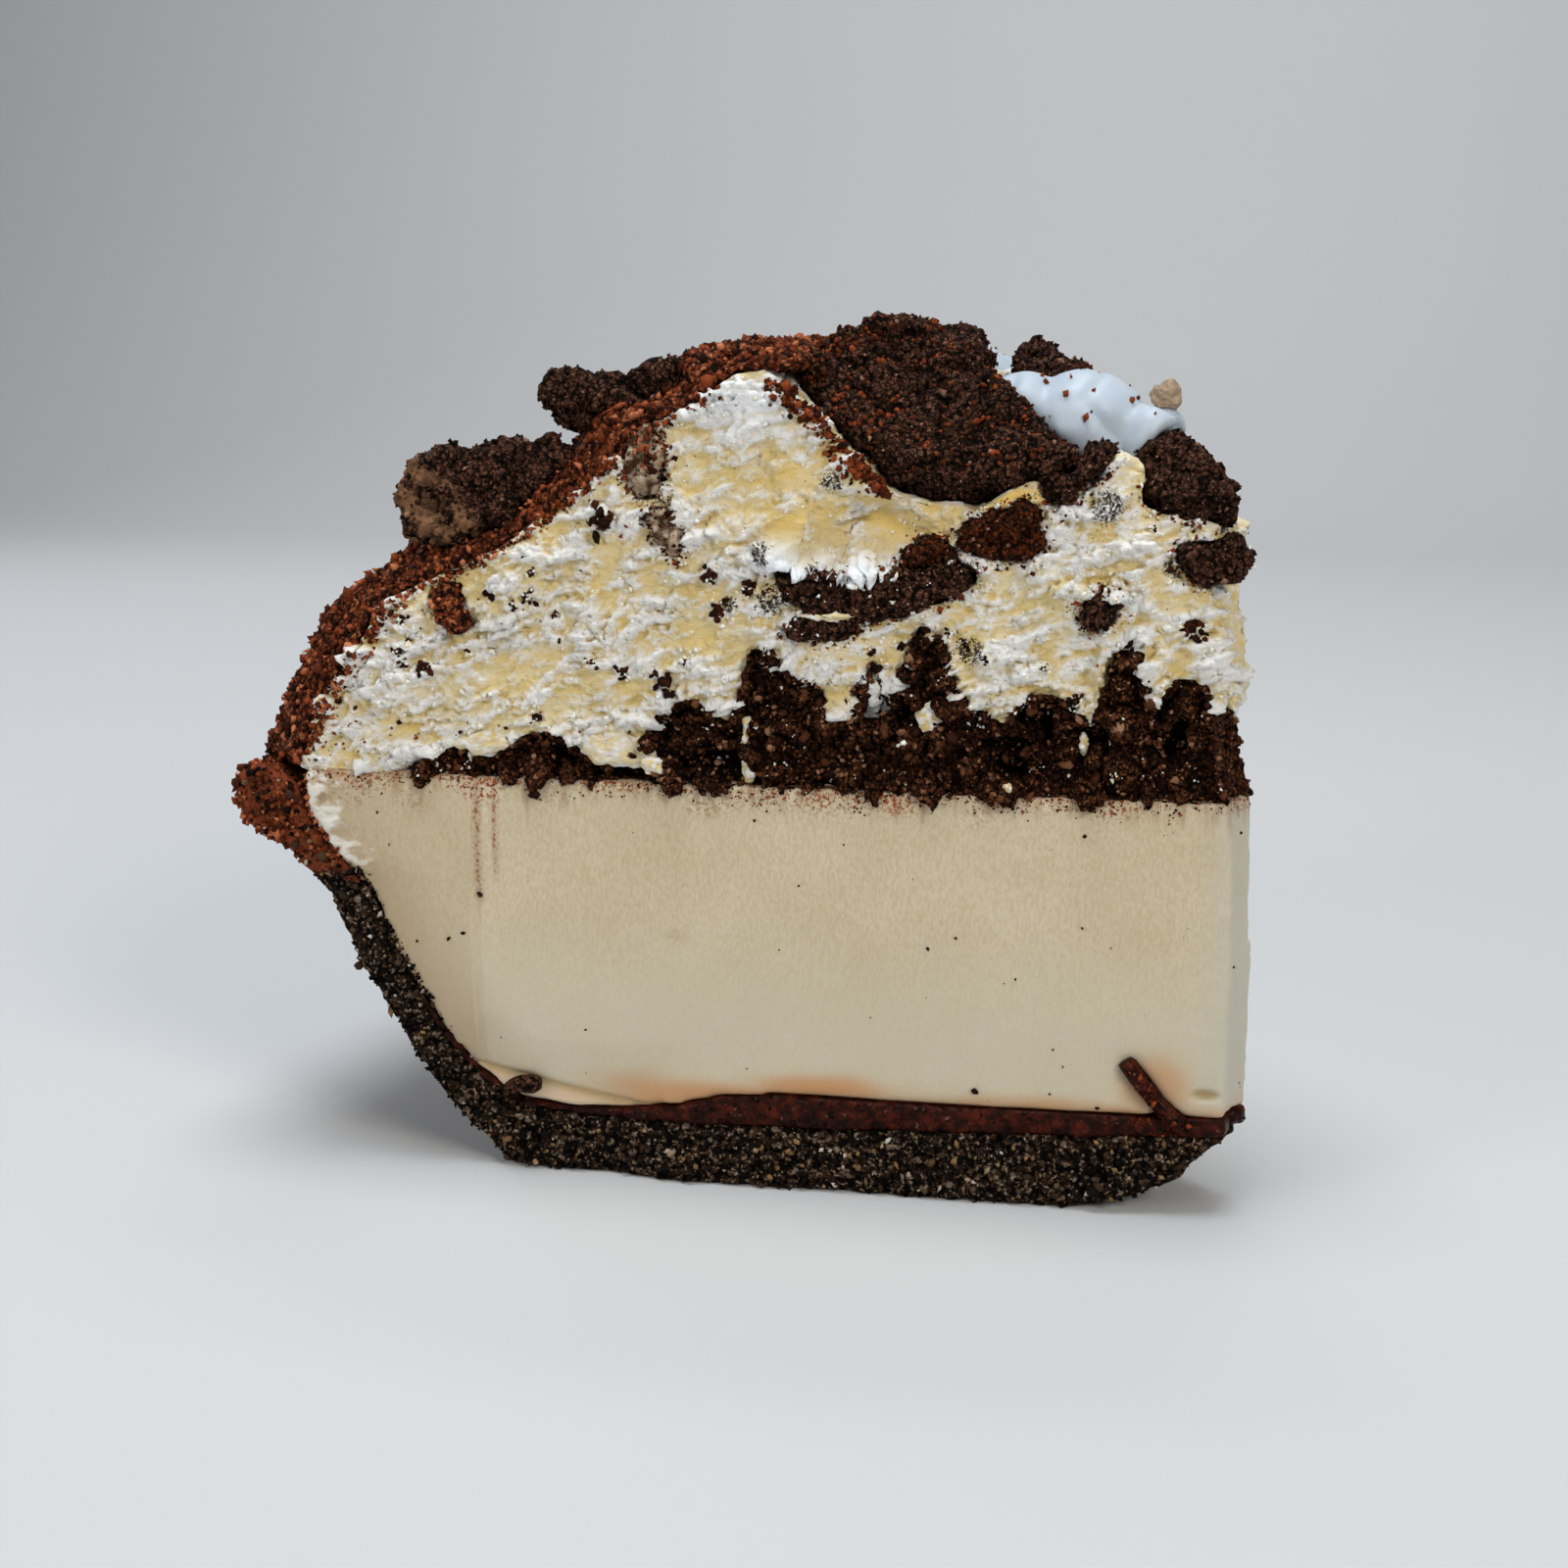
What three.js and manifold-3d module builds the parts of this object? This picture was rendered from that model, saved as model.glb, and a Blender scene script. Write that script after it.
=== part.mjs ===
// One slice of a tall ice cream pie, an eighth of the whole, in millimetres with +Z up.
//
// The pie's own axis is the line x = 0, y = 0 while the pieces are made. The slice's front cut face
// lies along -X, its back cut face is turned SLICE_ANGLE towards +Y, and its blunt tip is near the
// axis. From the table up it is: a chocolate crumb crust with a sloping wall and a lip, a film of
// fudge, a smooth ice cream layer, a layer of crushed cookies, rough whipped cream with cookie
// pieces in it, and a coat of crumbs over the dome with broken cookies and blobs of cream on top.
// At the end the whole slice is moved so that the origin is the middle of its underside.

import * as THREE from 'three';
import { ImprovedNoise } from 'three/addons/math/ImprovedNoise.js';
import { mergeVertices } from 'three/addons/utils/BufferGeometryUtils.js';
import Module from 'manifold-3d';

const wasm = await Module();
wasm.setup();

const { degToRad, lerp, smoothstep, clamp } = THREE.MathUtils;

// ---------------------------------------------------------------- driving dimensions

const SLICE_ANGLE = degToRad(45);
const TIP_RADIUS = 6.8; // the blunt tip's distance from the pie's axis
const RIM_INNER = 112.5; // where the crust's wall ends at the top
const ICE_TOP = 47; // height of the smooth ice cream layer
const COOKIE_LAYER_END = 99.5; // the crushed cookies stop here, short of the rim
const COAT_INNER = 56; // the crumb coat covers the dome from the rim to here
const GAP = 0.3; // clearance between neighbouring pieces
const HALF_GAP = GAP / 2;
const CUT_CLEARANCE = 0.42; // room cut round each topping
const SLIVER = 0.08; // detail finer than this is left out of the cut pieces

// Cells along the slice, across it and up it
const ACROSS = 7;
const ACROSS_FINE = 9;
const COOKIE_CELLS = 40;
const CREAM_CELLS = 44;
const CREAM_UP = 6;
const ICE_CELLS = 20;
const ICE_UP = 5;
const FUDGE_CELLS = 16; // the last of ICE_CELLS, which have fudge under them
const FUDGE_FROM = 1 - FUDGE_CELLS / ICE_CELLS;
const LIP_CELLS = 4;
const LIP_SKIN = 0.09; // share of the crust's outer skin that belongs to the lip

// ---------------------------------------------------------------- section curves, as [radius, height]

// Underside and outer wall of the crust, from the lip's top to the tip
const OUTER_SKIN = [
  [120.4, 46.6], [120.8, 43.5], [119, 39.8], [112.8, 36.8], [109.4, 32.2], [105.4, 23.3],
  [99.4, 12.6], [94.6, 5.6], [90.2, 1.2], [84, 0], [50, 0], [26, 0], [18.6, 1.3], [12.6, 4], [8.2, 8.2],
];

// The lip's top, from outside to inside
const LIP_TOP = [[120.4, 46.6], [117, 47], [114, 45.4], [RIM_INNER, 42.4]];

// Inner side of the wall and top of the base, from the wall's top to the tip
const INNER_SKIN = [
  [RIM_INNER, 42.4], [110, 38], [106, 34.8], [103.8, 30.5], [100.2, 22.8], [96.6, 16.4], [93, 11.2],
  [87.5, 7.4], [80, 6.8], [60, 7], [40, 7.8], [20, 8.7], [7.2, 9.4],
];

// Thickness of the fudge by radius
const FUDGE_DEPTH = [[6, 1.9], [20, 2.3], [40, 3], [52, 3.7], [61, 4], [67, 2.6], [73, 1], [90, 0.7]];

// Top of the cream under the coat, from the rim to the tip
const CREAM_TOP = [
  [112.8, 47.6], [110.5, 54], [106, 60], [101.8, 66], [95, 69.6], [88.5, 72.4], [83, 76.6],
  [77.5, 80], [72.5, 85.4], [66.5, 88], [61.5, 91.6], [56, 92], [48, 92.2], [38, 91], [28, 88.4],
  [20, 84.2], [15, 79], [11, 76.8], [8, 76],
];

// Outside of the crumb coat, from the lip to its inner edge
const COAT_TOP = [
  [120.2, 47.4], [118.2, 50.4], [116.4, 55], [113, 61.4], [108.4, 66.8], [100.8, 72], [92, 77],
  [83, 83], [77, 87.6], [71, 92.4], [63, 94.6], [COAT_INNER, 94.6],
];

// How far the front of the cream is broken away under the largest cookie, by radius
const NOTCH = [[18, 0], [24, 3], [29, 8], [36, 13.4], [44, 13], [50, 8], [54, 3.4], [58, 0]];
const NOTCH_REACH = 0.62; // share of the way across at which the notch has run out

// Heaps in the crushed cookie layer: radius, share of the way across, height above ICE_TOP, half-width
const COOKIE_FLOOR = [
  [6, 3], [14, 4.6], [30, 5.2], [60, 5.4], [70, 3.6], [76, 1.5], [80, 2.2], [95, 1.8], [100, 0.2],
];
const COOKIE_HEAPS = [
  { r: 92, across: 0, high: 1, wide: 4 },
  { r: 84, across: 0, high: 2.6, wide: 3.4 },
  { r: 68, across: 0, high: 5, wide: 4 },
  { r: 58.8, across: 0, high: 10, wide: 2.8 },
  { r: 55, across: 0, high: 7.4, wide: 3.4 },
  { r: 46, across: 0, high: 8.8, wide: 3.2 },
  { r: 40.6, across: 0, high: 13, wide: 3 },
  { r: 36.5, across: 0, high: 6, wide: 2.2 },
  { r: 28, across: 0, high: 6.2, wide: 4 },
  { r: 19.6, across: 0, high: 13.4, wide: 3 },
  { r: 12, across: 0.2, high: 9.4, wide: 5 },
  { r: 7, across: 0.5, high: 6, wide: 4.4 },
  { r: 30, across: 1, high: 7, wide: 4 },
  { r: 43, across: 1, high: 10, wide: 3.4 },
  { r: 55, across: 1, high: 4.6, wide: 5 },
  { r: 66, across: 1, high: 8, wide: 3.6 },
  { r: 80, across: 1, high: 4, wide: 5 },
  { r: 91, across: 1, high: 2.6, wide: 4 },
];
const HEAP_DEPTH = 0.9; // how far a heap runs into the slice, in half-widths

// Hollows and proud patches on the cut faces: centre, half-sizes and depth (proud where negative)
const FRONT_RELIEF = [
  { r: 48, z: 75.4, wide: 10.5, tall: 3.4, deep: 4.6 }, // the smooth scooped hollow
  { r: 57, z: 80.6, wide: 5.5, tall: 2, deep: 2.2 },
  { r: 60, z: 88, wide: 5, tall: 4, deep: -1.4 }, // the fluffy lobe at the top
  { r: 51, z: 71.2, wide: 9, tall: 1.5, deep: -1.6 }, // the bright ledge under the hollow
  { r: 45.5, z: 57.6, wide: 3.4, tall: 3.2, deep: 3.4 }, // dark gaps between crushed cookies
  { r: 64, z: 53.8, wide: 3, tall: 1.8, deep: 3 },
  { r: 13.4, z: 54.6, wide: 1.6, tall: 3.6, deep: 3 },
  { r: 90, z: 62, wide: 9, tall: 3, deep: 1.6 }, // pulled troughs in the cream
  { r: 81, z: 66.5, wide: 8, tall: 2, deep: 1.4 },
  { r: 75.5, z: 60, wide: 8, tall: 2.4, deep: -1.3 },
  { r: 98, z: 56, wide: 8, tall: 3, deep: -1 },
  { r: 24, z: 60.5, wide: 7, tall: 2.6, deep: 1.6 },
  { r: 22, z: 70, wide: 8, tall: 2, deep: -1.4 },
  { r: 106, z: 54, wide: 4, tall: 5, deep: 0.8 },
];
const BACK_RELIEF = [
  { r: 52, z: 79, wide: 12, tall: 3.4, deep: 3.6 },
  { r: 88, z: 61, wide: 9, tall: 3.6, deep: 2.4 },
  { r: 66, z: 68, wide: 9, tall: 2, deep: -1.8 },
  { r: 30, z: 74, wide: 8, tall: 4, deep: 2.2 },
  { r: 74, z: 55, wide: 4, tall: 2.4, deep: 3 },
  { r: 36, z: 56, wide: 4, tall: 3, deep: 3 },
];

// The wide facet at the foot of the front face, where the knife left a step
const FACET = { high: [93, 12.8], low: [72, 8.6], deep: 1.1 };
const KNIFE_STEP = { r: 92, proud: 0.5 };

// Roughness of each layer's relief, as the height of its bumps
const ICE_ROUGH = 0.12;
const CRUMB_ROUGH = 0.8;
const CREAM_ROUGH = 0.85;

// ---------------------------------------------------------------- cookies, in the order they are placed
// A lying cookie has its middle at x, y, z, with tilt, roll and spin in degrees about X, Y and Z. Its
// outline is listed as [along, across], or is ragged from a length, a width and a seed. A cookie in a
// cut face lists its corners as [along, up], seen from outside, about its radius and height.

const LYING = [
  { name: 'cookie_large', x: -39.9, y: 7.7, z: 87.6, thick: 9.5, tilt: 58,
    corners: [
      [-11.3, 8.1], [-9.8, 9.3], [-5, 10], [-0.6, 8.1], [5.6, 1.6], [11.6, -3.5], [14.8, -6],
      [14.1, -8.6], [3.1, -9.9], [-4.5, -9.5], [-10.2, -4.2], [-14.9, 0.5], [-15.4, 3.6],
    ] },
  { name: 'cookie_left', x: -91.4, y: 8.4, z: 77.6, thick: 13, tilt: 74,
    corners: [
      [-10, -1.3], [-9.4, 1.3], [-7.5, 3.2], [-2.6, 4.1], [2.3, 5.8], [8, 5.5], [10.4, 4], [9.2, 0.6],
      [4.2, -3.4], [-2.8, -6.6], [-7.5, -5.2],
    ] },
  { name: 'cookie_upper_left', x: -76.3, y: 9.2, z: 88.4, thick: 12, tilt: 76,
    corners: [
      [-8.7, 0.4], [-7.6, 2.1], [-0.2, 1.9], [5.4, 3.8], [9.4, 3.4], [8.4, 0.6], [4.6, -2.4],
      [0.1, -1.9], [-3, -3.5], [-7.8, -1.8],
    ] },
  { name: 'cookie_right', x: -13.4, y: 3.8, z: 80, thick: 6.4, tilt: 44,
    corners: [
      [-4.8, 2.7], [-3.4, 5.5], [-1.4, 7], [1.2, 3.7], [3.3, 0.5], [5.1, -1.3], [4.8, -3.6],
      [0.4, -4.1], [-4.1, -3.2],
    ] },
  { name: 'cookie_ridge', x: -39.4, y: 19.4, z: 92.9, thick: 5, tilt: 34,
    corners: [
      [-5.6, 3.6], [-3.4, 5.4], [0.4, 4.6], [3.2, 1.9], [3.4, -2.3], [2.8, -6], [-2.3, -5], [-5.2, -2],
    ] },
  { name: 'cookie_behind', x: -28.8, y: 17, z: 90.8, thick: 5, tilt: 32,
    corners: [[-4.2, 5.6], [-2.6, 5.8], [0.7, 2.4], [4.9, -0.6], [4.6, -3.4], [1.3, -4.4], [-3.8, -3.6]] },
  { name: 'cookie_wafer', x: -24.8, y: 0.5, z: 80.8, thick: 3, tilt: 60,
    corners: [[-3.7, -1.2], [-2.2, 0.8], [0.8, 2.9], [3.5, 3.1], [2.3, 0.8], [-0.5, -1.9], [-2.4, -2.6]] },
  { name: 'cookie_crest', x: -69.4, y: 25, z: 89.2, tilt: 14, roll: -12,
    length: 15, width: 12, thick: 6, seed: 14 },
  { name: 'cookie_slope', x: -84, y: 47, z: 74.5, tilt: -20, roll: -36, spin: -30,
    length: 17, width: 13, thick: 6, seed: 17 },
  { name: 'cookie_shoulder', x: -105, y: 26, z: 67.4, tilt: -6, roll: -46, spin: -12,
    length: 14, width: 11, thick: 5.4, seed: 26 },
  { name: 'cookie_back', x: -50, y: 42, z: 90, tilt: -14, roll: -8, spin: 40,
    length: 18, width: 14, thick: 6, seed: 31 },
  { name: 'cookie_back_low', x: -69, y: 62, z: 78, tilt: -34, roll: -20, spin: 25,
    length: 13, width: 10, thick: 5, seed: 40 },
];

const IN_FRONT = [
  { name: 'slab_front', r: 46.6, z: 67.7, deep: 8,
    corners: [
      [-10.9, 4.2], [-8.2, 3.1], [-3.8, 2.3], [0.3, 2.1], [3.1, 3], [9.4, 4], [10.9, 3.8], [10.6, 2.2],
      [7.6, 0], [1.3, -1.6], [-1.5, -2], [-2.9, -3.9], [-6.1, -4.4], [-9.4, -3.8], [-6.2, -1.6],
      [-8.4, -0.6], [-9.9, 1.2],
    ] },
  { name: 'cookie_front', r: 32.9, z: 75.3, deep: 8,
    corners: [[-4.8, -1.3], [-4, 0.6], [-1.2, 1.6], [3.1, 2.8], [4.8, -1], [2.6, -2.8], [-3.2, -2.4]] },
  { name: 'cookie_tail', r: 40.6, z: 72.6, deep: 3,
    corners: [[-3, -0.9], [-2.3, 0.7], [-0.2, 1.4], [2.4, 0.9], [2.8, 0], [0.2, -0.5], [-2.3, -1.3]] },
  { name: 'cookie_tip', r: 10.6, z: 72.4, deep: 5.6,
    corners: [[-3.5, 1.6], [-2.8, -0.4], [-1.4, -2.2], [2.2, -1.5], [3.5, 0.3], [2.1, 2.1], [-1.9, 2]] },
  { name: 'cookie_small', r: 22.4, z: 67.4, deep: 4,
    corners: [[-1.9, 0], [-1, -1.9], [1.2, -1.7], [1.9, 0.4], [0.4, 1.9]] },
  { name: 'lump_high', r: 71.6, z: 82.2, deep: 5,
    corners: [[-2.2, -1.6], [-0.8, -3.6], [1.6, -3.2], [2, 0.6], [1, 3.6], [-1, 2.6]] },
  { name: 'lump_low', r: 69.4, z: 74.8, deep: 4,
    corners: [[-1.6, 1.2], [-0.4, -1.4], [1.4, -2.6], [1.9, -1], [0.6, 1.8], [-0.8, 2.4]] },
  { name: 'crumb_cluster', r: 94.3, z: 66, deep: 4,
    corners: [[-1.5, 1.8], [-1.2, -1.4], [0.6, -2.6], [1.7, -1.8], [0.9, 2.3]] },
];

const IN_BACK = [
  { name: 'slab_back', r: 62, z: 74, deep: 8,
    corners: [[-9, 1], [-7, -2], [0, -3], [7, -2.4], [9.4, -0.4], [6, 1.6], [0, 1.2], [-5, 2.4]] },
  { name: 'cookie_back_face', r: 34, z: 66, deep: 7,
    corners: [[-4, -1], [-1, -3.4], [3.6, -2], [4.2, 1.6], [0, 3.2], [-3, 2.2]] },
  { name: 'cookie_back_high', r: 82, z: 66.6, deep: 6,
    corners: [[-3.6, -0.6], [-1, -2.8], [2.8, -2.2], [3.8, 0.6], [1, 2.6], [-2, 2]] },
];

// Lobes of whipped cream on top, as centre and half-sizes
const DOLLOP_FRONT = [
  { x: -25, y: 10.4, z: 85.8, size: [7, 6.6, 6.2] },
  { x: -31.4, y: 10.6, z: 86.6, size: [5, 5.6, 5.2] },
  { x: -17.6, y: 8.4, z: 84.6, size: [3.6, 4.4, 4] },
];
const DOLLOP_BACK = [
  { x: -34.4, y: 18.6, z: 91, size: [3.6, 5, 4.6] },
  { x: -45, y: 27, z: 90.4, size: [6.4, 6, 3.8] },
  { x: -38.6, y: 31.4, z: 90.6, size: [5, 5.4, 3.8] },
];

// The tongue of fudge drawn up into the ice cream near the tip, and the hook of it near the wall
const TONGUE = { path: [[11.8, 10.6], [14, 12.5], [16, 14.9], [18.1, 17.6]], width: 1 };
const HOOK = { path: [[88.9, 9.4], [88, 10.2], [86.8, 10.7], [85.4, 10.4]], width: 1 };

// ---------------------------------------------------------------- small tools

const noiseField = new ImprovedNoise();

// Smooth noise from -1 to 1 whose bumps are about `size` across
function bumps(x, y, z, size) {
  return noiseField.noise(x / size + 9.3, y / size + 4.1, z / size + 7.7);
}

// A value read from a list of [position, value] stops, straight between them
function between(stops, at) {
  if (at <= stops[0][0]) return stops[0][1];
  for (let i = 1; i < stops.length; i++) {
    const [x0, y0] = stops[i - 1];
    const [x1, y1] = stops[i];
    if (at <= x1) return lerp(y0, y1, (at - x0) / (x1 - x0));
  }
  return stops[stops.length - 1][1];
}

// A smooth curve through [radius, height] points, read by share of its length
function sectionCurve(points) {
  const curve = new THREE.SplineCurve(points.map(([r, z]) => new THREE.Vector2(r, z)));
  return {
    at: (u) => curve.getPointAt(clamp(u, 0, 1)),
    // The curve moved sideways by `by`, to the right of its direction
    beside: (u, by) => {
      const along = curve.getTangentAt(clamp(u, 0, 1));
      return curve.getPointAt(clamp(u, 0, 1)).add(new THREE.Vector2(along.y, -along.x).multiplyScalar(by));
    },
  };
}

// A point of the slice by radius, angle from the front cut face and height
function slicePoint(r, angle, z) {
  return new THREE.Vector3(-r * Math.cos(angle), r * Math.sin(angle), z);
}

function bare(geometry) {
  const copy = geometry.clone();
  copy.deleteAttribute('normal');
  copy.deleteAttribute('uv');
  return mergeVertices(copy, 1e-4);
}

// A box of cells bent to shape: place(u, v, w) gives each corner's place, and every cell is split along
// the same diagonal, so that two blocks which share a curved boundary fit each other
function bentBlock(nu, nv, nw, place) {
  const known = new Map();
  const positions = [];
  const faces = [];
  const corner = (i, j, k) => {
    const key = `${i},${j},${k}`;
    if (!known.has(key)) {
      known.set(key, positions.length / 3);
      positions.push(...place(i / nu, j / nv, k / nw));
    }
    return known.get(key);
  };
  const quad = (a, b, c, d) => faces.push(a, b, c, a, c, d);
  for (let i = 0; i < nu; i++) {
    for (let j = 0; j < nv; j++) {
      quad(corner(i, j, nw), corner(i + 1, j, nw), corner(i + 1, j + 1, nw), corner(i, j + 1, nw));
      quad(corner(i, j, 0), corner(i, j + 1, 0), corner(i + 1, j + 1, 0), corner(i + 1, j, 0));
    }
    for (let k = 0; k < nw; k++) {
      quad(corner(i, 0, k), corner(i + 1, 0, k), corner(i + 1, 0, k + 1), corner(i, 0, k + 1));
      quad(corner(i, nv, k), corner(i, nv, k + 1), corner(i + 1, nv, k + 1), corner(i + 1, nv, k));
    }
  }
  for (let j = 0; j < nv; j++) {
    for (let k = 0; k < nw; k++) {
      quad(corner(nu, j, k), corner(nu, j + 1, k), corner(nu, j + 1, k + 1), corner(nu, j, k + 1));
      quad(corner(0, j, k), corner(0, j, k + 1), corner(0, j + 1, k + 1), corner(0, j + 1, k));
    }
  }
  const geometry = new THREE.BufferGeometry();
  geometry.setAttribute('position', new THREE.Float32BufferAttribute(positions, 3));
  geometry.setIndex(faces);
  return geometry;
}

function solidOf(geometry) {
  const vertProperties = new Float32Array(geometry.attributes.position.array);
  const triVerts = new Uint32Array(geometry.index.array);
  return new wasm.Manifold(new wasm.Mesh({ numProp: 3, vertProperties, triVerts }));
}

function geometryOf(solid) {
  const { vertProperties, triVerts } = solid.getMesh();
  const geometry = new THREE.BufferGeometry();
  geometry.setAttribute('position', new THREE.BufferAttribute(new Float32Array(vertProperties), 3));
  geometry.setIndex(new THREE.BufferAttribute(new Uint32Array(triVerts), 1));
  geometry.computeVertexNormals();
  return geometry;
}

// The solid without the loose scraps that a cut leaves
function largestBody(solid) {
  const bodies = solid.simplify(SLIVER).decompose().sort((a, b) => b.volume() - a.volume());
  return bodies[0];
}

// ---------------------------------------------------------------- relief

function hollow({ r, z, wide, tall, deep }, atR, atZ) {
  const away = ((atR - r) / wide) ** 2 + ((atZ - z) / tall) ** 2;
  return away < 1 ? -deep * (1 - away) ** 2 * (1 + away) : 0;
}

function roughness(z) {
  const crust = lerp(CRUMB_ROUGH, ICE_ROUGH, smoothstep(z, 7, 9));
  const crumb = lerp(crust, CRUMB_ROUGH, smoothstep(z, ICE_TOP - 1, ICE_TOP + 1));
  return lerp(crumb, CREAM_ROUGH, smoothstep(z, 60, 62));
}

// How far a cut face stands out at a place: torn ridges lie along the layers, so bumps are long and low
function cutRelief(r, z, side) {
  const list = side === 'front' ? FRONT_RELIEF : BACK_RELIEF;
  const shift = side === 'front' ? 0 : 57;
  let out = list.reduce((sum, patch) => sum + hollow(patch, r, z), 0);
  out += roughness(z) * (bumps(r / 1.7, shift, z, 3.1) + 0.6 * bumps(r / 1.4, shift, z, 1.7));
  if (side === 'front' && z < ICE_TOP) {
    const [r1, z1] = FACET.high;
    const [r0, z0] = FACET.low;
    const edge = lerp(z0, z1, clamp((r - r0) / (r1 - r0), -0.2, 1.2));
    const inFacet = smoothstep(edge - z, 0, 1) * smoothstep(r, r0 - 3, r0 + 2);
    out -= FACET.deep * inFacet;
    out += KNIFE_STEP.proud * smoothstep(r, KNIFE_STEP.r - 0.6, KNIFE_STEP.r + 0.6) * (1 - inFacet);
  }
  return out * clamp((r - 4) / 14, 0.15, 1); // the slice is too thin at its tip for the full relief
}

// Moves a point by the relief of the cut face near it. The move dies away over RELIEF_REACH of the way
// across, so that a deep hollow in a face doesn't fold the surfaces that meet it.
const RELIEF_REACH = 0.45;

function carve(point, r, z, v) {
  const nearFront = 1 - v / RELIEF_REACH;
  const nearBack = 1 - (1 - v) / RELIEF_REACH;
  if (nearFront > 0) point.y -= nearFront * cutRelief(r, z, 'front');
  if (nearBack > 0) {
    const out = nearBack * cutRelief(r, z, 'back');
    point.x += out * Math.sin(SLICE_ANGLE);
    point.y += out * Math.cos(SLICE_ANGLE);
  }
  return point;
}

// The tip is uneven up its height: its cut-back at each height, in millimetres of radius
const TIP_SETBACK = [
  [12, 0], [24, 0], [44, 0.8], [48, 1.4], [53, 3.8], [60, 1.4], [66, 2.2], [69, 3], [74, 2], [80, 1.6],
];

function tipSetback(u, z) {
  return smoothstep(u, 0.86, 1) * between(TIP_SETBACK, z);
}

// ---------------------------------------------------------------- the layers

const outerSkin = sectionCurve(OUTER_SKIN);
const innerSkin = sectionCurve(INNER_SKIN);
const lipTop = sectionCurve(LIP_TOP);
const creamTop = sectionCurve(CREAM_TOP);
const coatTop = sectionCurve(COAT_TOP);

function crust() {
  const cells = ICE_CELLS + LIP_CELLS;
  const lipShare = LIP_CELLS / cells;
  return bentBlock(cells, ACROSS_FINE, 2, (u, v, w) => {
    const past = (u - lipShare) / (1 - lipShare);
    const high = past < 0 ? lipTop.at(u / lipShare) : innerSkin.at(past);
    // The outer skin has the lip's edge and hanging drip in its first cells
    const low = outerSkin.at(past < 0 ? LIP_SKIN * (u / lipShare) : lerp(LIP_SKIN, 1, past));
    const p = low.clone().lerp(high, w);
    const point = slicePoint(p.x, v * SLICE_ANGLE, p.y);
    if (w === 0 && p.y > 1) {
      const crag = 0.7 * bumps(point.x, point.y, point.z, 4) + 0.4 * bumps(point.x, point.y, point.z, 2.2);
      point.addScaledVector(slicePoint(1, v * SLICE_ANGLE, -0.4), crag);
    }
    return carve(point, p.x, p.y, v);
  });
}

// Top of the fudge, on which the ice cream lies
function fudgeTop(u, v) {
  const p = innerSkin.at(u);
  const z = p.y + between(FUDGE_DEPTH, p.x);
  return carve(slicePoint(p.x, v * SLICE_ANGLE, z), p.x, z, v);
}

// A bent rod lying in the front face, such as a drip that the knife has cut along
function rod({ path, width }, grow) {
  const points = path.map(([r, z]) => new THREE.Vector3(-r, 0, z));
  const curve = new THREE.CatmullRomCurve3(points);
  const half = width + grow;
  const profile = new THREE.Shape();
  profile.absellipse(0, 0, half, half * 0.8, 0, Math.PI * 2);
  return bare(new THREE.ExtrudeGeometry(profile, {
    extrudePath: curve, steps: 5, curveSegments: 4, bevelEnabled: false,
  }));
}

function fudge() {
  const layer = bentBlock(FUDGE_CELLS, ACROSS, 1, (s, v, w) => {
    const u = lerp(FUDGE_FROM, 1, s);
    if (w === 1) return fudgeTop(u, v);
    const p = innerSkin.at(u);
    return carve(slicePoint(p.x, v * SLICE_ANGLE, p.y + GAP), p.x, p.y, v);
  });
  return solidOf(layer).add(solidOf(rod(TONGUE, 0)));
}

function iceCream() {
  return solidOf(bentBlock(ICE_CELLS, ACROSS, ICE_UP, (u, v, w) => {
    const overFudge = u > FUDGE_FROM - 1e-6;
    if (w === 0 && overFudge) return fudgeTop(u, v).add(new THREE.Vector3(0, 0, GAP));
    const low = innerSkin.beside(u, GAP * 1.5);
    if (overFudge) low.y += between(FUDGE_DEPTH, low.x);
    const high = new THREE.Vector2(lerp(RIM_INNER - 0.4, TIP_RADIUS, u), ICE_TOP - HALF_GAP);
    const p = low.lerp(high, w);
    p.x += tipSetback(u, p.y);
    return carve(slicePoint(p.x, v * SLICE_ANGLE, p.y), p.x, p.y, v);
  }));
}

// Height of the crushed cookies above the ice cream
function cookieDepth(r, v) {
  const heaps = COOKIE_HEAPS.reduce((sum, heap) => {
    const along = (r - heap.r) / heap.wide;
    const inward = ((v - heap.across) * SLICE_ANGLE * r) / (HEAP_DEPTH * heap.wide);
    return Math.max(sum, heap.high * Math.exp(-(along ** 4) - inward ** 2));
  }, 0);
  return between(COOKIE_FLOOR, r) + heaps;
}

// Top of the crushed cookies, on which the cream lies
function cookieTop(u, v) {
  const base = lerp(COOKIE_LAYER_END, TIP_RADIUS, u);
  const z = ICE_TOP + HALF_GAP + 0.2 + cookieDepth(base, v);
  const r = base + tipSetback(u, z);
  return carve(slicePoint(r, v * SLICE_ANGLE, z), r, z, v);
}

function cookieLayer() {
  return solidOf(bentBlock(COOKIE_CELLS, ACROSS, 3, (u, v, w) => {
    if (w === 1) return cookieTop(u, v);
    const base = lerp(COOKIE_LAYER_END, TIP_RADIUS, u);
    const z = ICE_TOP + HALF_GAP + w * (0.2 + cookieDepth(base, v));
    const r = base + tipSetback(u, z);
    return carve(slicePoint(r, v * SLICE_ANGLE, z), r, z, v);
  }));
}

// Top of the cream at a share of the way from the rim to the tip, before its cut faces are torn
function creamSurface(u, v) {
  const p = creamTop.at(u);
  p.y -= between(NOTCH, p.x) * (1 - smoothstep(v, 0.12, NOTCH_REACH));
  return p;
}

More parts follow.
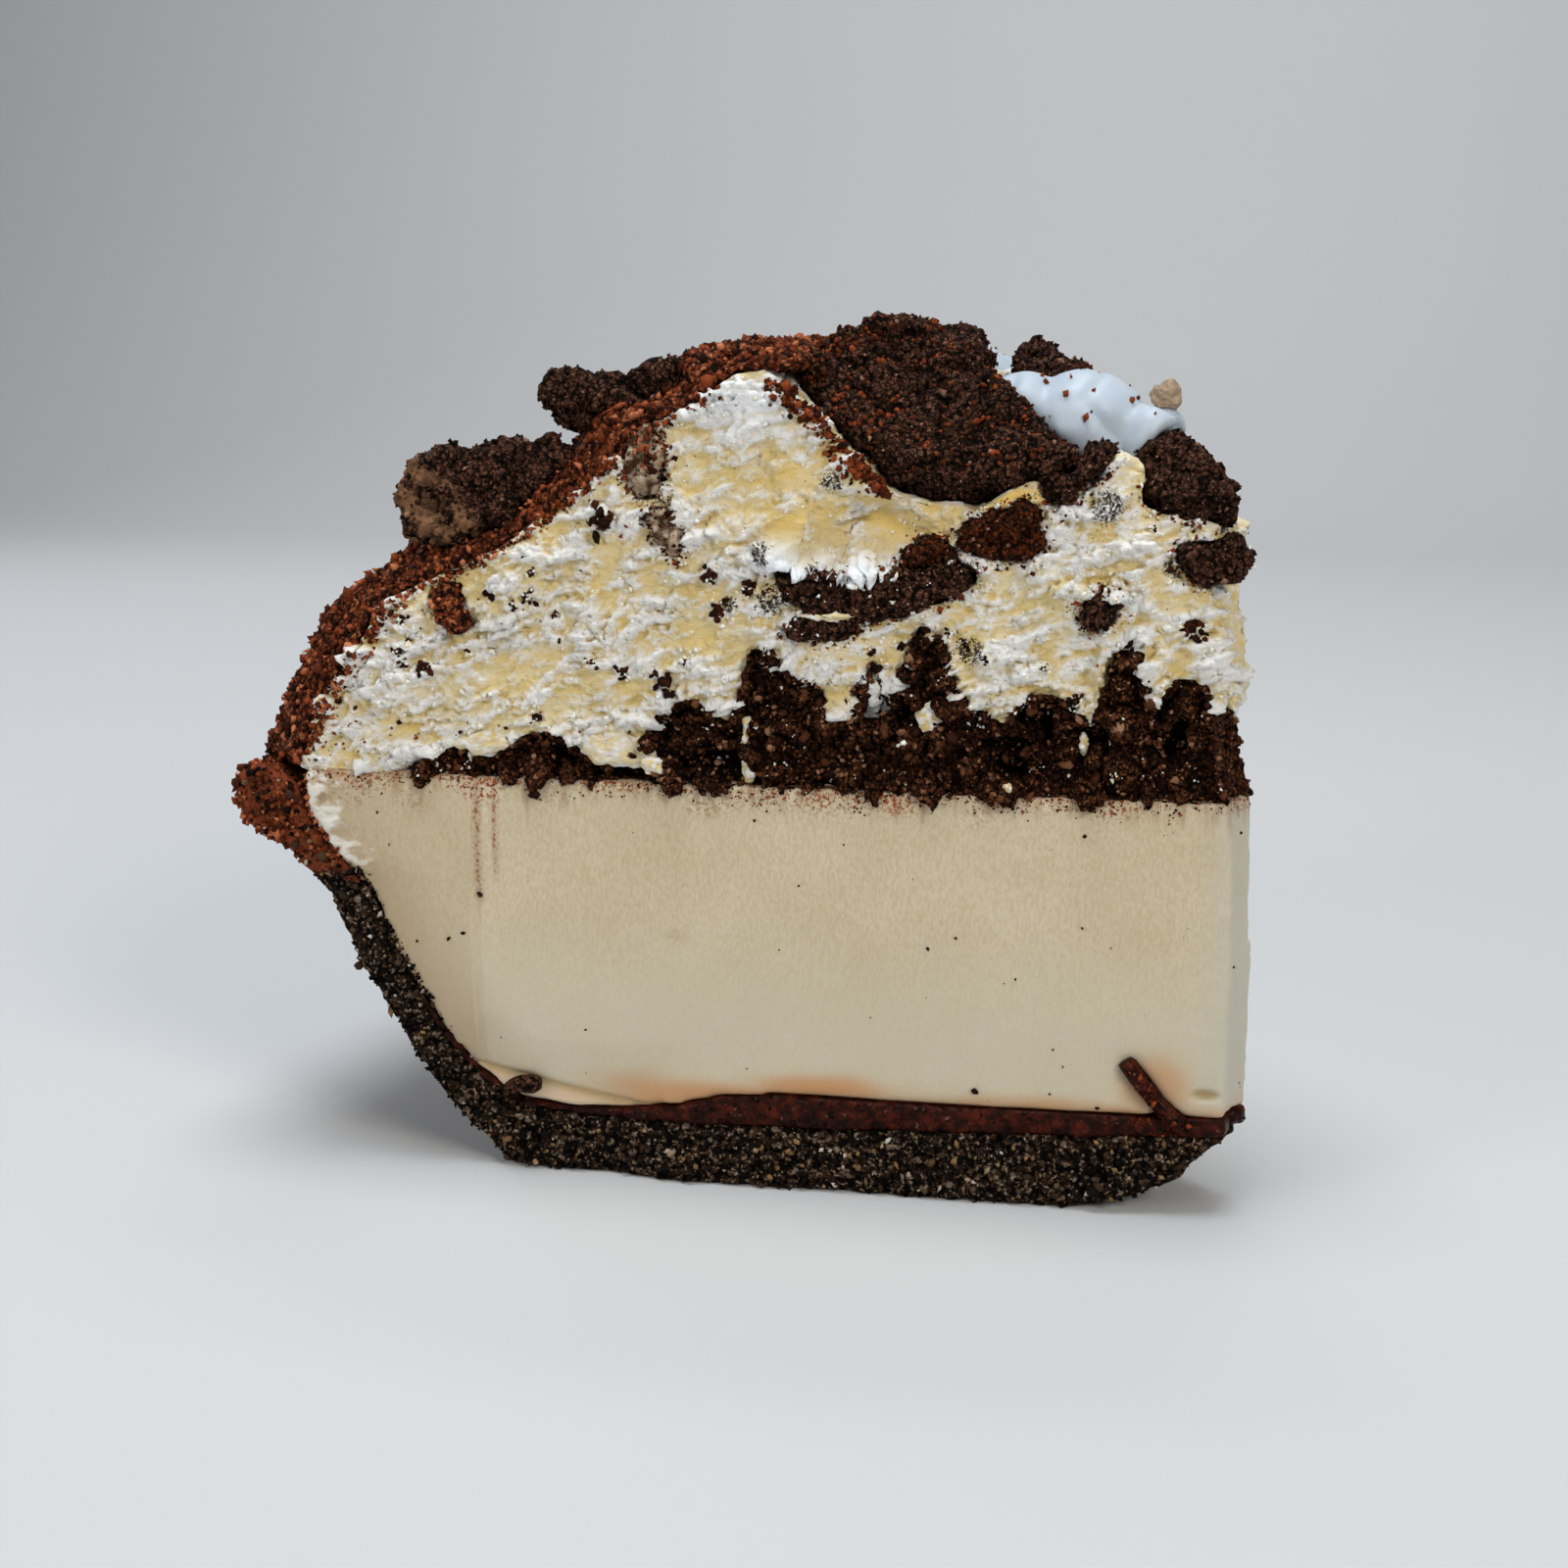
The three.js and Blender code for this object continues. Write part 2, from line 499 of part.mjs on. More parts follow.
function cream() {
  const from = 1 - COOKIE_CELLS / CREAM_CELLS;
  return solidOf(bentBlock(CREAM_CELLS, ACROSS, CREAM_UP, (u, v, w) => {
    const overCookies = u > from - 1e-6;
    const cookieU = Math.max(0, (u - from) / (1 - from));
    if (w === 0 && overCookies) return cookieTop(cookieU, v).add(new THREE.Vector3(0, 0, GAP * 1.3));
    const low = overCookies
      ? new THREE.Vector2(lerp(COOKIE_LAYER_END, TIP_RADIUS, cookieU), 0)
      : new THREE.Vector2(lerp(RIM_INNER - 0.2, COOKIE_LAYER_END, u / from), 0);
    low.y = ICE_TOP + HALF_GAP + (overCookies ? GAP + 0.2 + cookieDepth(low.x, v) : 0);
    const p = low.lerp(creamSurface(u, v), w);
    const r = p.x + tipSetback(cookieU, p.y);
    const point = slicePoint(r, v * SLICE_ANGLE, p.y);
    if (w === 1 && r < COAT_INNER - 2) point.z += 0.9 * bumps(point.x, point.y, 3, 5);
    return carve(point, r, p.y, v);
  }));
}

// The coat's outer edge is rounded off at both cut faces, where crumbs have fallen away
const COAT_CELLS = 27;
const COAT_BEVEL = 0.9; // setback at a cut face for each millimetre of the coat's thickness

function coat() {
  const share = COAT_CELLS / CREAM_CELLS;
  return solidOf(bentBlock(COAT_CELLS, ACROSS_FINE, 2, (s, v, w) => {
    const low = creamTop.beside(s * share, GAP);
    const high = coatTop.at(s);
    const thickness = low.distanceTo(high) * w;
    const p = low.lerp(high, w);
    const turnIn = (COAT_BEVEL * thickness) / p.x;
    const angle = clamp(v * SLICE_ANGLE, turnIn, SLICE_ANGLE - turnIn);
    const point = slicePoint(p.x, angle, p.y);
    if (w === 1) {
      const crag = 0.9 * bumps(point.x, point.y, point.z, 5) + 0.6 * bumps(point.x, point.y, point.z, 2.6);
      point.addScaledVector(slicePoint(0.7, angle, 0.7), crag);
    }
    return w < 1 ? carve(point, p.x, p.y, v) : point;
  }));
}

// ---------------------------------------------------------------- cookies and cream blobs

// Corners of a ragged, roughly oval piece, from a repeatable rule
function raggedCorners({ length, width, seed }) {
  const count = 9;
  return Array.from({ length: count }, (_, i) => {
    const jitter = bumps(i * 3.7, seed * 1.9, 0, 1);
    const angle = ((i + 0.5 * jitter) / count) * Math.PI * 2;
    const reach = 0.5 * (1 + 0.34 * bumps(i * 2.3, seed * 3.1, 5, 1));
    return [length * reach * Math.cos(angle), width * reach * Math.sin(angle)];
  });
}

// The way out of an outline at each of its corners, long enough to carry both edges out by 1
function cornerNormals(outline) {
  const edgeNormal = (a, b) => new THREE.Vector2(b.y - a.y, a.x - b.x).normalize();
  return outline.map((corner, i) => {
    const before = edgeNormal(outline.at(i - 1), corner);
    const after = edgeNormal(corner, outline[(i + 1) % outline.length]);
    return before.clone().add(after).divideScalar(Math.max(0.5, 1 + before.dot(after)));
  });
}

// A broken slab whose outline lies in XY and whose thickness is centred on Z. Its surface is uneven,
// and a grown slab follows the same unevenness, so that it clears the slab evenly.
function brokenSlab(corners, thick, bevel, grow) {
  const outline = corners.map(([x, y]) => new THREE.Vector2(x, y));
  if (THREE.ShapeUtils.isClockWise(outline)) outline.reverse();
  const outwards = cornerNormals(outline);
  const cap = THREE.ShapeUtils.triangulateShape(outline, []);
  const count = outline.length;
  const levels = [
    { inset: bevel, z: -thick / 2, away: -1.5 * grow },
    { inset: 0, z: bevel - thick / 2, away: 0 },
    { inset: 0, z: thick / 2 - bevel, away: 0 },
    { inset: bevel, z: thick / 2, away: 1.5 * grow },
  ];
  const positions = levels.flatMap(({ inset, z, away }) => outline.flatMap((corner, i) => {
    const p = corner.clone().addScaledVector(outwards[i], -inset);
    const q = p.clone().addScaledVector(outwards[i], grow);
    return [
      q.x + 0.7 * bumps(p.x, p.y, z + 11, 6),
      q.y + 0.7 * bumps(p.x, p.y + 31, z, 6),
      z + away + 0.8 * bumps(p.x + 17, p.y, z, 7),
    ];
  }));
  const faces = cap.flatMap(([a, b, c]) => [c, b, a, a + 3 * count, b + 3 * count, c + 3 * count]);
  for (let level = 0; level < 3; level++) {
    for (let i = 0; i < count; i++) {
      const [a, b] = [level * count + i, level * count + (i + 1) % count];
      faces.push(a, b, b + count, a, b + count, a + count);
    }
  }
  const geometry = new THREE.BufferGeometry();
  geometry.setAttribute('position', new THREE.Float32BufferAttribute(positions, 3));
  geometry.setIndex(faces);
  return geometry;
}

function lyingCookie(spec, grow) {
  const { x, y, z, thick, spin = 0, tilt = 0, roll = 0, corners } = spec;
  const turn = new THREE.Euler(degToRad(tilt), degToRad(roll), degToRad(spin), 'ZYX');
  const geometry = brokenSlab(corners ?? raggedCorners(spec), thick, Math.min(0.9, thick * 0.22), grow);
  return geometry.applyMatrix4(new THREE.Matrix4().makeRotationFromEuler(turn)).translate(x, y, z);
}

// A cookie set into a cut face: it stands slightly proud of the face and runs `deep` into the slice
function setCookie({ r, z, deep, corners }, side, grow) {
  const geometry = brokenSlab(corners, deep, 0.3, grow);
  geometry.rotateX(Math.PI / 2).translate(-r, deep / 2 - 0.7, z);
  if (side === 'front') return geometry;
  const back = geometry.applyMatrix4(new THREE.Matrix4().makeScale(1, -1, 1)).rotateZ(-SLICE_ANGLE);
  const order = back.index.array;
  for (let i = 0; i < order.length; i += 3) [order[i], order[i + 1]] = [order[i + 1], order[i]];
  return back;
}

function lobes(list, grow) {
  const parts = list.map(({ x, y, z, size }) => {
    const ball = bare(new THREE.IcosahedronGeometry(1, 2));
    return solidOf(ball.scale(...size.map((s) => s + grow)).translate(x, y, z));
  });
  return parts.reduce((joined, part) => joined.add(part));
}

// ---------------------------------------------------------------- the slice

const pieces = [];
const taken = []; // every placed topping, grown by the gap, which later pieces are cut clear of

function place(name, make) {
  const solid = taken.reduce((left, other) => left.subtract(other), make(0));
  pieces.push({ name, solid: largestBody(solid) });
  taken.push(make(CUT_CLEARANCE));
}

for (const spec of LYING) place(spec.name, (grow) => solidOf(lyingCookie(spec, grow)));
for (const spec of IN_FRONT) place(spec.name, (grow) => solidOf(setCookie(spec, 'front', grow)));
for (const spec of IN_BACK) place(spec.name, (grow) => solidOf(setCookie(spec, 'back', grow)));
place('dollop_front', (grow) => lobes(DOLLOP_FRONT, grow));
place('dollop_back', (grow) => lobes(DOLLOP_BACK, grow));

const clearOfToppings = (solid) => largestBody(taken.reduce((left, other) => left.subtract(other), solid));
const hook = solidOf(rod(HOOK, 0));
const iceRoom = solidOf(rod(TONGUE, CUT_CLEARANCE)).add(solidOf(rod(HOOK, CUT_CLEARANCE)));

pieces.push({ name: 'crust', solid: solidOf(crust()) });
pieces.push({ name: 'fudge', solid: fudge() });
pieces.push({ name: 'fudge_hook', solid: hook });
pieces.push({ name: 'ice_cream', solid: largestBody(iceCream().subtract(iceRoom)) });
pieces.push({ name: 'cookie_layer', solid: clearOfToppings(cookieLayer()) });
pieces.push({ name: 'cream', solid: clearOfToppings(cream()) });
pieces.push({ name: 'crumb_coat', solid: clearOfToppings(coat()) });

const COLOURS = {
  crust: 0x2b1f18, fudge: 0x32150c, fudge_hook: 0x32150c, ice_cream: 0xdcc9a0, cookie_layer: 0x2f1d14,
  cream: 0xefe3c8, crumb_coat: 0x5d2514, dollop_front: 0xf2f4f6, dollop_back: 0xf2f4f6,
  lump_high: 0x6a5038, lump_low: 0xb5a68c, crumb_cluster: 0x4c1d10,
};
const COOKIE_COLOUR = 0x2c1c16;

const slice = new THREE.Group();
for (const { name, solid } of pieces) {
  const color = COLOURS[name] ?? COOKIE_COLOUR;
  const material = new THREE.MeshStandardMaterial({ color, roughness: 0.8, metalness: 0 });
  const mesh = new THREE.Mesh(geometryOf(solid), material);
  mesh.name = name;
  slice.add(mesh);
}

// Moves the slice so that the origin is the middle of its underside
const bounds = new THREE.Box3().setFromObject(slice);
const middle = bounds.getCenter(new THREE.Vector3());
slice.position.set(-middle.x, -middle.y, -bounds.min.z);

const part = new THREE.Group();
part.add(slice);

export default part;
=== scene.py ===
"""A slice of ice cream pie, dressed for the studio.

Every layer and cookie of the frame is copied at a fine grid, roughened in its own way and given a
procedural finish, and loose crumbs and flakes are scattered over it. Lengths are in millimetres in the
pie's own frame: its axis is x = 0, y = 0, the front cut face is the plane y = 0 towards -X, and the back
cut face is turned 45 degrees from it. A place on the front face is given as its radius, which is -x, and
its height. Points go to the row frame, in metres, only when a mesh is written.
"""

import math
from itertools import product

import bmesh
import bpy
import numpy as np
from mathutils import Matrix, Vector
from mathutils.bvhtree import BVHTree


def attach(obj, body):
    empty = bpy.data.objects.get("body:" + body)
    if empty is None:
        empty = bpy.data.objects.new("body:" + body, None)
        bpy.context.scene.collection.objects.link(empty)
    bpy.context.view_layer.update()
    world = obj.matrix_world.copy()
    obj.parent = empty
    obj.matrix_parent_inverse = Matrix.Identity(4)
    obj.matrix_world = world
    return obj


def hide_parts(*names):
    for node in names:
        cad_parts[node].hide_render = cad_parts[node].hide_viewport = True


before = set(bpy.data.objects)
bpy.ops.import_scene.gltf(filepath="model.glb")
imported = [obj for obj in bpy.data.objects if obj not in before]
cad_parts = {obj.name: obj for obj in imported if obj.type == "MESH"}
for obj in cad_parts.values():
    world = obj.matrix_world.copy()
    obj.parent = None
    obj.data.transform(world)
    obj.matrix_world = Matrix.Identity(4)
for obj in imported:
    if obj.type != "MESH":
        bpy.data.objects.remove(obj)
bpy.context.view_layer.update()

# -------------------- sizes and places

MM = 0.001
PIE_AXIS = np.array([62.80, -41.87, 0.10])  # the pie's axis in the row frame
BACK_TURN = math.radians(45)
BACK_OUT = np.array([math.sin(BACK_TURN), math.cos(BACK_TURN), 0.0])
BACK_ALONG = np.array([-math.cos(BACK_TURN), math.sin(BACK_TURN), 0.0])
ICE_FOOT = 10.5  # where the ice cream meets the fudge
CLOSE_GAP = 0.2  # each layer is grown by this, so that no clearance shows between them
TABLE_TOP = 0.02 - PIE_AXIS[2]  # nothing reaches below this
FRONT_DEPTH = 6  # the front cut face and what lies on it reach this far back
LIP_FOOT, LIP_FULL = 33, 40  # heights between which the crust turns into the coat's red crumbs

# Grid size of the fine copies
ICE_GRID = 0.8
CREAM_GRID = 0.56
LAYER_GRID = 0.52
COAT_GRID = 0.66
CRUST_GRID = 0.7
COOKIE_GRID = 0.42
SET_GRID = 0.34  # for the pieces set into a cut face
DOLLOP_GRID = 0.5
FUDGE_EDGE = 0.8
TOUCH = 1.2  # a surface closer than this to its neighbour is out of sight
HIDDEN_MARGIN = 2.4  # how far from sight faces may be thinned out
HIDDEN_KEPT = 0.1  # share of the hidden faces that stays

CAMERA_PLACE = (49.4, -272.8, 96.4)  # in the row frame
CAMERA_YAW = 10.5
CAMERA_PITCH = 11.8
CAMERA_LENS = 50

KNIFE_STEP_R = 92.0
FACET_HIGH = (93.0, 12.8)
FACET_LOW = (72.0, 8.6)

# Specks in the front of the ice cream, each with its size
ICE_SPECKS = [
    (103.3, 42.3, 0.5), (102.0, 38.6, 0.4), (91.5, 33.0, 1.1), (95.2, 27.8, 0.6), (93.5, 28.5, 0.7),
    (99.0, 27.3, 0.5), (79.3, 17.6, 0.4), (59.5, 43.0, 0.5), (54.5, 35.8, 0.4), (56.7, 28.3, 0.4),
    (40.0, 29.3, 0.5), (23.2, 42.8, 0.6), (23.2, 32.5, 0.5), (30.3, 26.3, 0.4), (34.5, 13.1, 1.1),
    (26.0, 18.5, 0.4), (26.2, 13.3, 0.4), (21.0, 12.0, 0.5), (6.7, 43.0, 0.6), (6.9, 28.6, 0.5),
]
# Specks and small lumps in the front of the cream
CREAM_SPECKS = [
    (76.3, 75.6, 3.6), (63.6, 66.3, 2.6), (64.3, 70.0, 2.2), (69.6, 58.4, 2.6), (69.4, 57.0, 1.8),
    (74.2, 59.1, 1.9), (85.0, 67.2, 1.9), (89.4, 67.3, 1.9), (86.9, 66.2, 1.2), (97.0, 59.4, 2.3),
    (84.4, 70.1, 1.7), (100.3, 61.1, 1.5), (99.6, 59.7, 1.6), (82.2, 65.2, 1.3), (81.6, 62.3, 0.8),
    (77.7, 60.3, 1.4), (67.3, 60.6, 1.2), (84.6, 53.5, 1.7), (60.0, 69.0, 2.4), (99.0, 62.3, 0.9),
    (92.2, 61.1, 0.9), (89.6, 60.9, 0.8), (99.7, 64.3, 1.4), (47.8, 64.7, 1.4), (46.7, 62.3, 1.3),
    (79.1, 70.4, 0.8), (12.5, 65.6, 2.8), (12.2, 64.4, 2.1), (24.6, 57.8, 1.9), (34.4, 62.0, 1.3),
    (36.4, 63.5, 1.5), (38.4, 64.4, 1.5), (28.0, 61.0, 1.1), (17.0, 76.0, 1.0), (43.5, 62.8, 1.5),
]
# Bits of cream hanging in the crushed cookies, with width and tallness
CREAM_BITS = [
    (40.4, 55.2, 2.3, 3.4), (60.2, 48.6, 1.3, 3.0), (60.8, 52.6, 1.1, 3.2), (70.6, 48.8, 2.2, 2.6),
    (92.6, 49.4, 0.9, 2.8), (23.7, 52.8, 1.3, 2.4), (75.3, 50.3, 8.4, 3.8), (31.5, 47.9, 1.2, 0.8),
    (91.0, 50.6, 6.5, 2.6), (51.2, 66.1, 6.0, 0.6),
]
# Gaps between the lumps of the crushed cookies, sunk in and painted near black as shade, with half-width and
# half-height
VOIDS = [
    (62.5, 54.4, 1.7, 2.2), (45.4, 56.4, 2.9, 2.6), (14.6, 55.2, 1.2, 3.0), (32.6, 52.4, 2.6, 0.7),
    (88.5, 50.7, 1.1, 0.7), (81.0, 50.3, 1.6, 1.5), (70.2, 53.5, 0.8, 2.1), (22.6, 54.0, 1.6, 1.0),
]
# Sooty stains on the front of the cream
SOOT = [
    (21.8, 78.1, 3.2), (76.3, 75.6, 1.8), (22.8, 66.6, 2.8), (57.6, 67.6, 3.2), (58.6, 73.0, 2.0),
    (69.6, 76.8, 2.2), (36.0, 62.6, 2.6), (51.0, 80.4, 2.2), (14.6, 72.0, 2.2), (62.4, 66.8, 1.8),
]
# The edge of the crumb coat in the front face
COAT_EDGE = [(112.0, 49.7), (107.7, 56.6), (103.3, 63.5), (100.4, 67.9), (92.7, 70.8), (86.9, 74.2),
             (82.4, 76.9), (76.8, 81.3), (70.0, 87.2), (64.2, 90.4)]
# The torn ledge of cream over the long slab
LEDGE = [(57.6, 72.4), (54.6, 71.6), (50.6, 70.9), (46.6, 70.8), (43.9, 71.6)]
# The largest cookie's broken left edge, where crumbs have spilled on to the cream
SPILL = [(56.0, 90.4), (52.3, 87.0), (48.9, 83.4), (45.9, 80.8)]


def ease(value, low, high):
    """0 below low, 1 above high, smooth between."""
    t = np.clip((value - low) / (high - low), 0, 1)
    return t * t * (3 - 2 * t)


def bell(value, middle, width):
    """1 at the middle, falling smoothly to 0 on both sides."""
    return np.exp(-((value - middle) / width) ** 2)


# -------------------- noise over arrays of points

def random_at(cells, seed):
    """A repeatable random whole number below 2**32 for each row of whole-number cells."""
    c = cells.astype(np.int64).astype(np.uint64)
    h = c[:, 0] * np.uint64(73856093) ^ c[:, 1] * np.uint64(19349663) ^ c[:, 2] * np.uint64(83492791)
    h ^= np.uint64(seed * 2654435761 & 0xFFFFFFFF)
    h = (h ^ (h >> np.uint64(15))) * np.uint64(2246822519)
    h = (h ^ (h >> np.uint64(13))) * np.uint64(3266489917)
    return (h ^ (h >> np.uint64(16))) & np.uint64(0xFFFFFFFF)


def three_shares(h):
    """Three numbers from 0 to 1 out of each random whole number."""
    shares = [((h >> np.uint64(shift)) & np.uint64(1023)).astype(float) / 1023 for shift in (0, 10, 20)]
    return np.stack(shares, axis=1)


def noise(points, size, seed=0):
    """Gradient noise from about -1 to 1 whose bumps are `size` across, which may differ by axis."""
    p = points / np.asarray(size, float) + seed * 17.3
    base = np.floor(p)
    part = p - base
    fade = part**3 * (part * (part * 6 - 15) + 10)
    total = np.zeros(len(p))
    for corner in product((0.0, 1.0), repeat=3):
        c = np.array(corner)
        slope = three_shares(random_at(base + c, seed)) * 2 - 1
        weight = np.prod(np.where(c > 0, fade, 1 - fade), axis=1)
        total += weight * np.einsum("ij,ij->i", slope, part - c)
    return total * 1.5


def layered_noise(points, size, seed=0, octaves=3, rough=0.5):
    size = np.asarray(size, float)
    return sum(rough**k * noise(points, size / 2**k, seed + k) for k in range(octaves))


def ridges(points, size, seed=0):
    """From 0 in the valleys to 1 on sharp crests."""
    return 1 - np.minimum(1, 2.2 * np.abs(noise(points, size, seed)))


def grains(points, size, seed=0):
    """Distance to the nearest and second nearest of scattered centres about `size` apart, in sizes."""
    p = points / np.asarray(size, float)
    base = np.floor(p)
    nearest = np.full(len(p), 9.0)
    second = np.full(len(p), 9.0)
    for offset in product((-1.0, 0.0, 1.0), repeat=3):
        cell = base + np.array(offset)
        away = np.linalg.norm(cell + three_shares(random_at(cell, seed)) - p, axis=1)
        second = np.minimum(second, np.maximum(nearest, away))
        nearest = np.minimum(nearest, away)
    return nearest, second


def crumbly(points, grain, depth, seed=0):
    """Height of a surface of pressed crumbs of that size."""
    near, _ = grains(points, grain, seed)
    clumps = noise(points, grain * 3.2, seed + 5)
    return depth * (0.9 - 1.7 * near + 0.7 * clumps)


# -------------------- meshes

def read_mesh(mesh):
    """A mesh's points in the pie's frame, and its normals."""
    places = np.zeros(len(mesh.vertices) * 3)
    mesh.vertices.foreach_get("co", places)
    normals = np.zeros(len(mesh.vertices) * 3)
    mesh.vertex_normals.foreach_get("vector", normals)
    return places.reshape(-1, 3) / MM - PIE_AXIS, normals.reshape(-1, 3)


def write_mesh(mesh, points):
    mesh.vertices.foreach_set("co", ((points + PIE_AXIS) * MM).ravel())
    mesh.update()


def mesh_from(points, faces):
    """A new mesh from arrays, its points in the pie's frame."""
    mesh = bpy.data.meshes.new("piece")
    mesh.from_pydata(((points + PIE_AXIS) * MM).tolist(), [], faces.tolist())
    return mesh


def shade_smooth(mesh):
    mesh.polygons.foreach_set("use_smooth", np.ones(len(mesh.polygons), bool))


def paint(mesh, name, values):
    """Keeps a value for each point of the mesh, for its material to read."""
    layer = mesh.attributes.new(name, "FLOAT", "POINT")
    layer.data.foreach_set("value", np.asarray(values, np.float32))


def welded(node):
    """A copy of a node's mesh with its corners joined."""
    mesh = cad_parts[node].data.copy()
    bm = bmesh.new()
    bm.from_mesh(mesh)
    bmesh.ops.remove_doubles(bm, verts=bm.verts, dist=0.01 * MM)
    bmesh.ops.recalc_face_normals(bm, faces=bm.faces)
    bm.to_mesh(mesh)
    bm.free()
    mesh.materials.clear()
    return mesh


def new_object(name, data):
    thing = bpy.data.objects.new(name, data)
    bpy.context.scene.collection.objects.link(thing)
    return thing


def add_piece(name, mesh, look, node=None):
    """Puts a finished mesh in the scene, riding on the slice, in place of its node where it has one."""
    mesh.materials.append(look)
    mesh.name = name
    piece = new_object(name, mesh)
    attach(piece, "root")
    if node:
        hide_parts(node)
    return piece


def tree_of(meshes):
    """A search tree over several meshes, in the pie's frame."""
    points, faces, shift = [], [], 0
    for mesh in meshes:
        co, _ = read_mesh(mesh)
        points += co.tolist()
        faces += [[v + shift for v in f.vertices] for f in mesh.polygons]
        shift = len(points)
    return BVHTree.FromPolygons(points, faces)


def hidden_points(mesh, node, margin):
    """1 for each point that lies against a neighbour of its node, at least `margin` steps from sight."""
    points, normals = read_mesh(mesh)
    others = tree_of([o.data for name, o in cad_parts.items() if name != node])
    hidden = np.array([others.ray_cast(Vector(p), Vector(n), TOUCH)[0] is not None
                       for p, n in zip(points.tolist(), normals.tolist())], float)
    ends = np.zeros(len(mesh.edges) * 2, np.int32)
    mesh.edges.foreach_get("vertices", ends)
    a, b = ends.reshape(-1, 2).T
    for _ in range(margin):
        least = hidden.copy()
        np.minimum.at(least, a, hidden[b])
        np.minimum.at(least, b, hidden[a])
        hidden = least
    return hidden


def finished(holder):
    """The mesh that an object's modifiers make. The object is removed."""
    depsgraph = bpy.context.evaluated_depsgraph_get()
    mesh = bpy.data.meshes.new_from_object(holder.evaluated_get(depsgraph))
    bpy.data.objects.remove(holder)
    return mesh


def fine_mesh(node, grid, smoothing=2):
    """The node's form again as an even grid of small faces, its edges slightly softened, with fewer
    faces where it lies against its neighbours."""
    holder = new_object("holder", welded(node))
    remesh = holder.modifiers.new("grid", "REMESH")
    remesh.mode = "VOXEL"
    remesh.voxel_size = grid * MM
    soften = holder.modifiers.new("soften", "SMOOTH")
    soften.iterations = smoothing
    soften.factor = 0.5
    mesh = finished(holder)

    hidden = hidden_points(mesh, node, margin=round(HIDDEN_MARGIN / grid))
    share = hidden.mean()
    if share > 0.1:
        holder = new_object("holder", mesh)
        group = holder.vertex_groups.new(name="hidden")
        group.add(np.flatnonzero(hidden).tolist(), 1.0, "REPLACE")
        thin = holder.modifiers.new("thin", "DECIMATE")
        thin.vertex_group = "hidden"
        thin.ratio = 1 - share * (1 - HIDDEN_KEPT)
        mesh = finished(holder)
    shade_smooth(mesh)
    return mesh


def divided(mesh, wanted):
    """Splits each face into four wherever wanted(points, normals) is true for all its corners."""
    chosen = wanted(*read_mesh(mesh))
    bm = bmesh.new()
    bm.from_mesh(mesh)
    bmesh.ops.triangulate(bm, faces=bm.faces)
    edges = [e for e in bm.edges if all(chosen[v.index] for v in e.verts)]
    bmesh.ops.subdivide_edges(bm, edges=edges, cuts=1)
    bmesh.ops.triangulate(bm, faces=[f for f in bm.faces if len(f.verts) > 3])
    bm.to_mesh(mesh)
    bm.free()
    shade_smooth(mesh)


def raise_by(mesh, height):
    """Moves every point along its normal by height(points, normals), in millimetres."""
    points, normals = read_mesh(mesh)
    write_mesh(mesh, points + normals * height(points, normals)[:, None])


def facing(normals, direction, sharp=0.55):
    """How far each normal points in a direction: 1 along it, 0 well away from it."""
    return ease(normals @ np.asarray(direction, float), sharp, 0.9)


FRONT = (0, -1, 0)
UP = (0, 0, 1)


def on_front(points, normals):
    return facing(normals, FRONT) * (points[:, 1] < FRONT_DEPTH)


def in_front(points, normals):
    return (normals[:, 1] < -0.25) & (points[:, 1] < FRONT_DEPTH)


def cut_faces(points, normals):
    return np.maximum(facing(normals, FRONT, 0.3), facing(normals, BACK_OUT, 0.3))


def patch(points, radius, height, wide, tall):
    """1 in the middle of an oval patch of the front face, falling smoothly to 0 round it."""
    away = ((-points[:, 0] - radius) / wide) ** 2 + ((points[:, 2] - height) / tall) ** 2
    return np.exp(-(away**2))


def from_line(points, line):
    """Distance in the front view from each point to a line through places on the front face."""
    flat = np.stack([-points[:, 0], points[:, 2]], axis=1)
    least = np.full(len(flat), np.inf)
    for a, b in zip(np.array(line[:-1]), np.array(line[1:])):
        share = np.clip((flat - a) @ (b - a) / ((b - a) @ (b - a)), 0, 1)
        least = np.minimum(least, np.linalg.norm(flat - a - share[:, None] * (b - a), axis=1))
    return least


def warped(points, size, reach, seed):
    """Points moved up to about `reach` by noise, so that a pattern read at them loses its regularity."""
    return points + reach * np.stack([noise(points, size, seed + k) for k in range(3)], axis=1)


def slice_radius(points):
    """Distance from the pie's axis along the cut face that a point is nearer to."""
    front = -points[:, 0]
    back = points @ BACK_ALONG
    return np.where(points[:, 1] < -(points @ BACK_OUT), front, back)


# -------------------- materials

def srgb(colour):
    """A colour in everyday 0 to 255 steps, as the renderer's numbers."""
    steps = [c / 255 for c in colour]
    return tuple(c / 12.92 if c <= 0.04045 else ((c + 0.055) / 1.055) ** 2.4 for c in steps) + (1.0,)


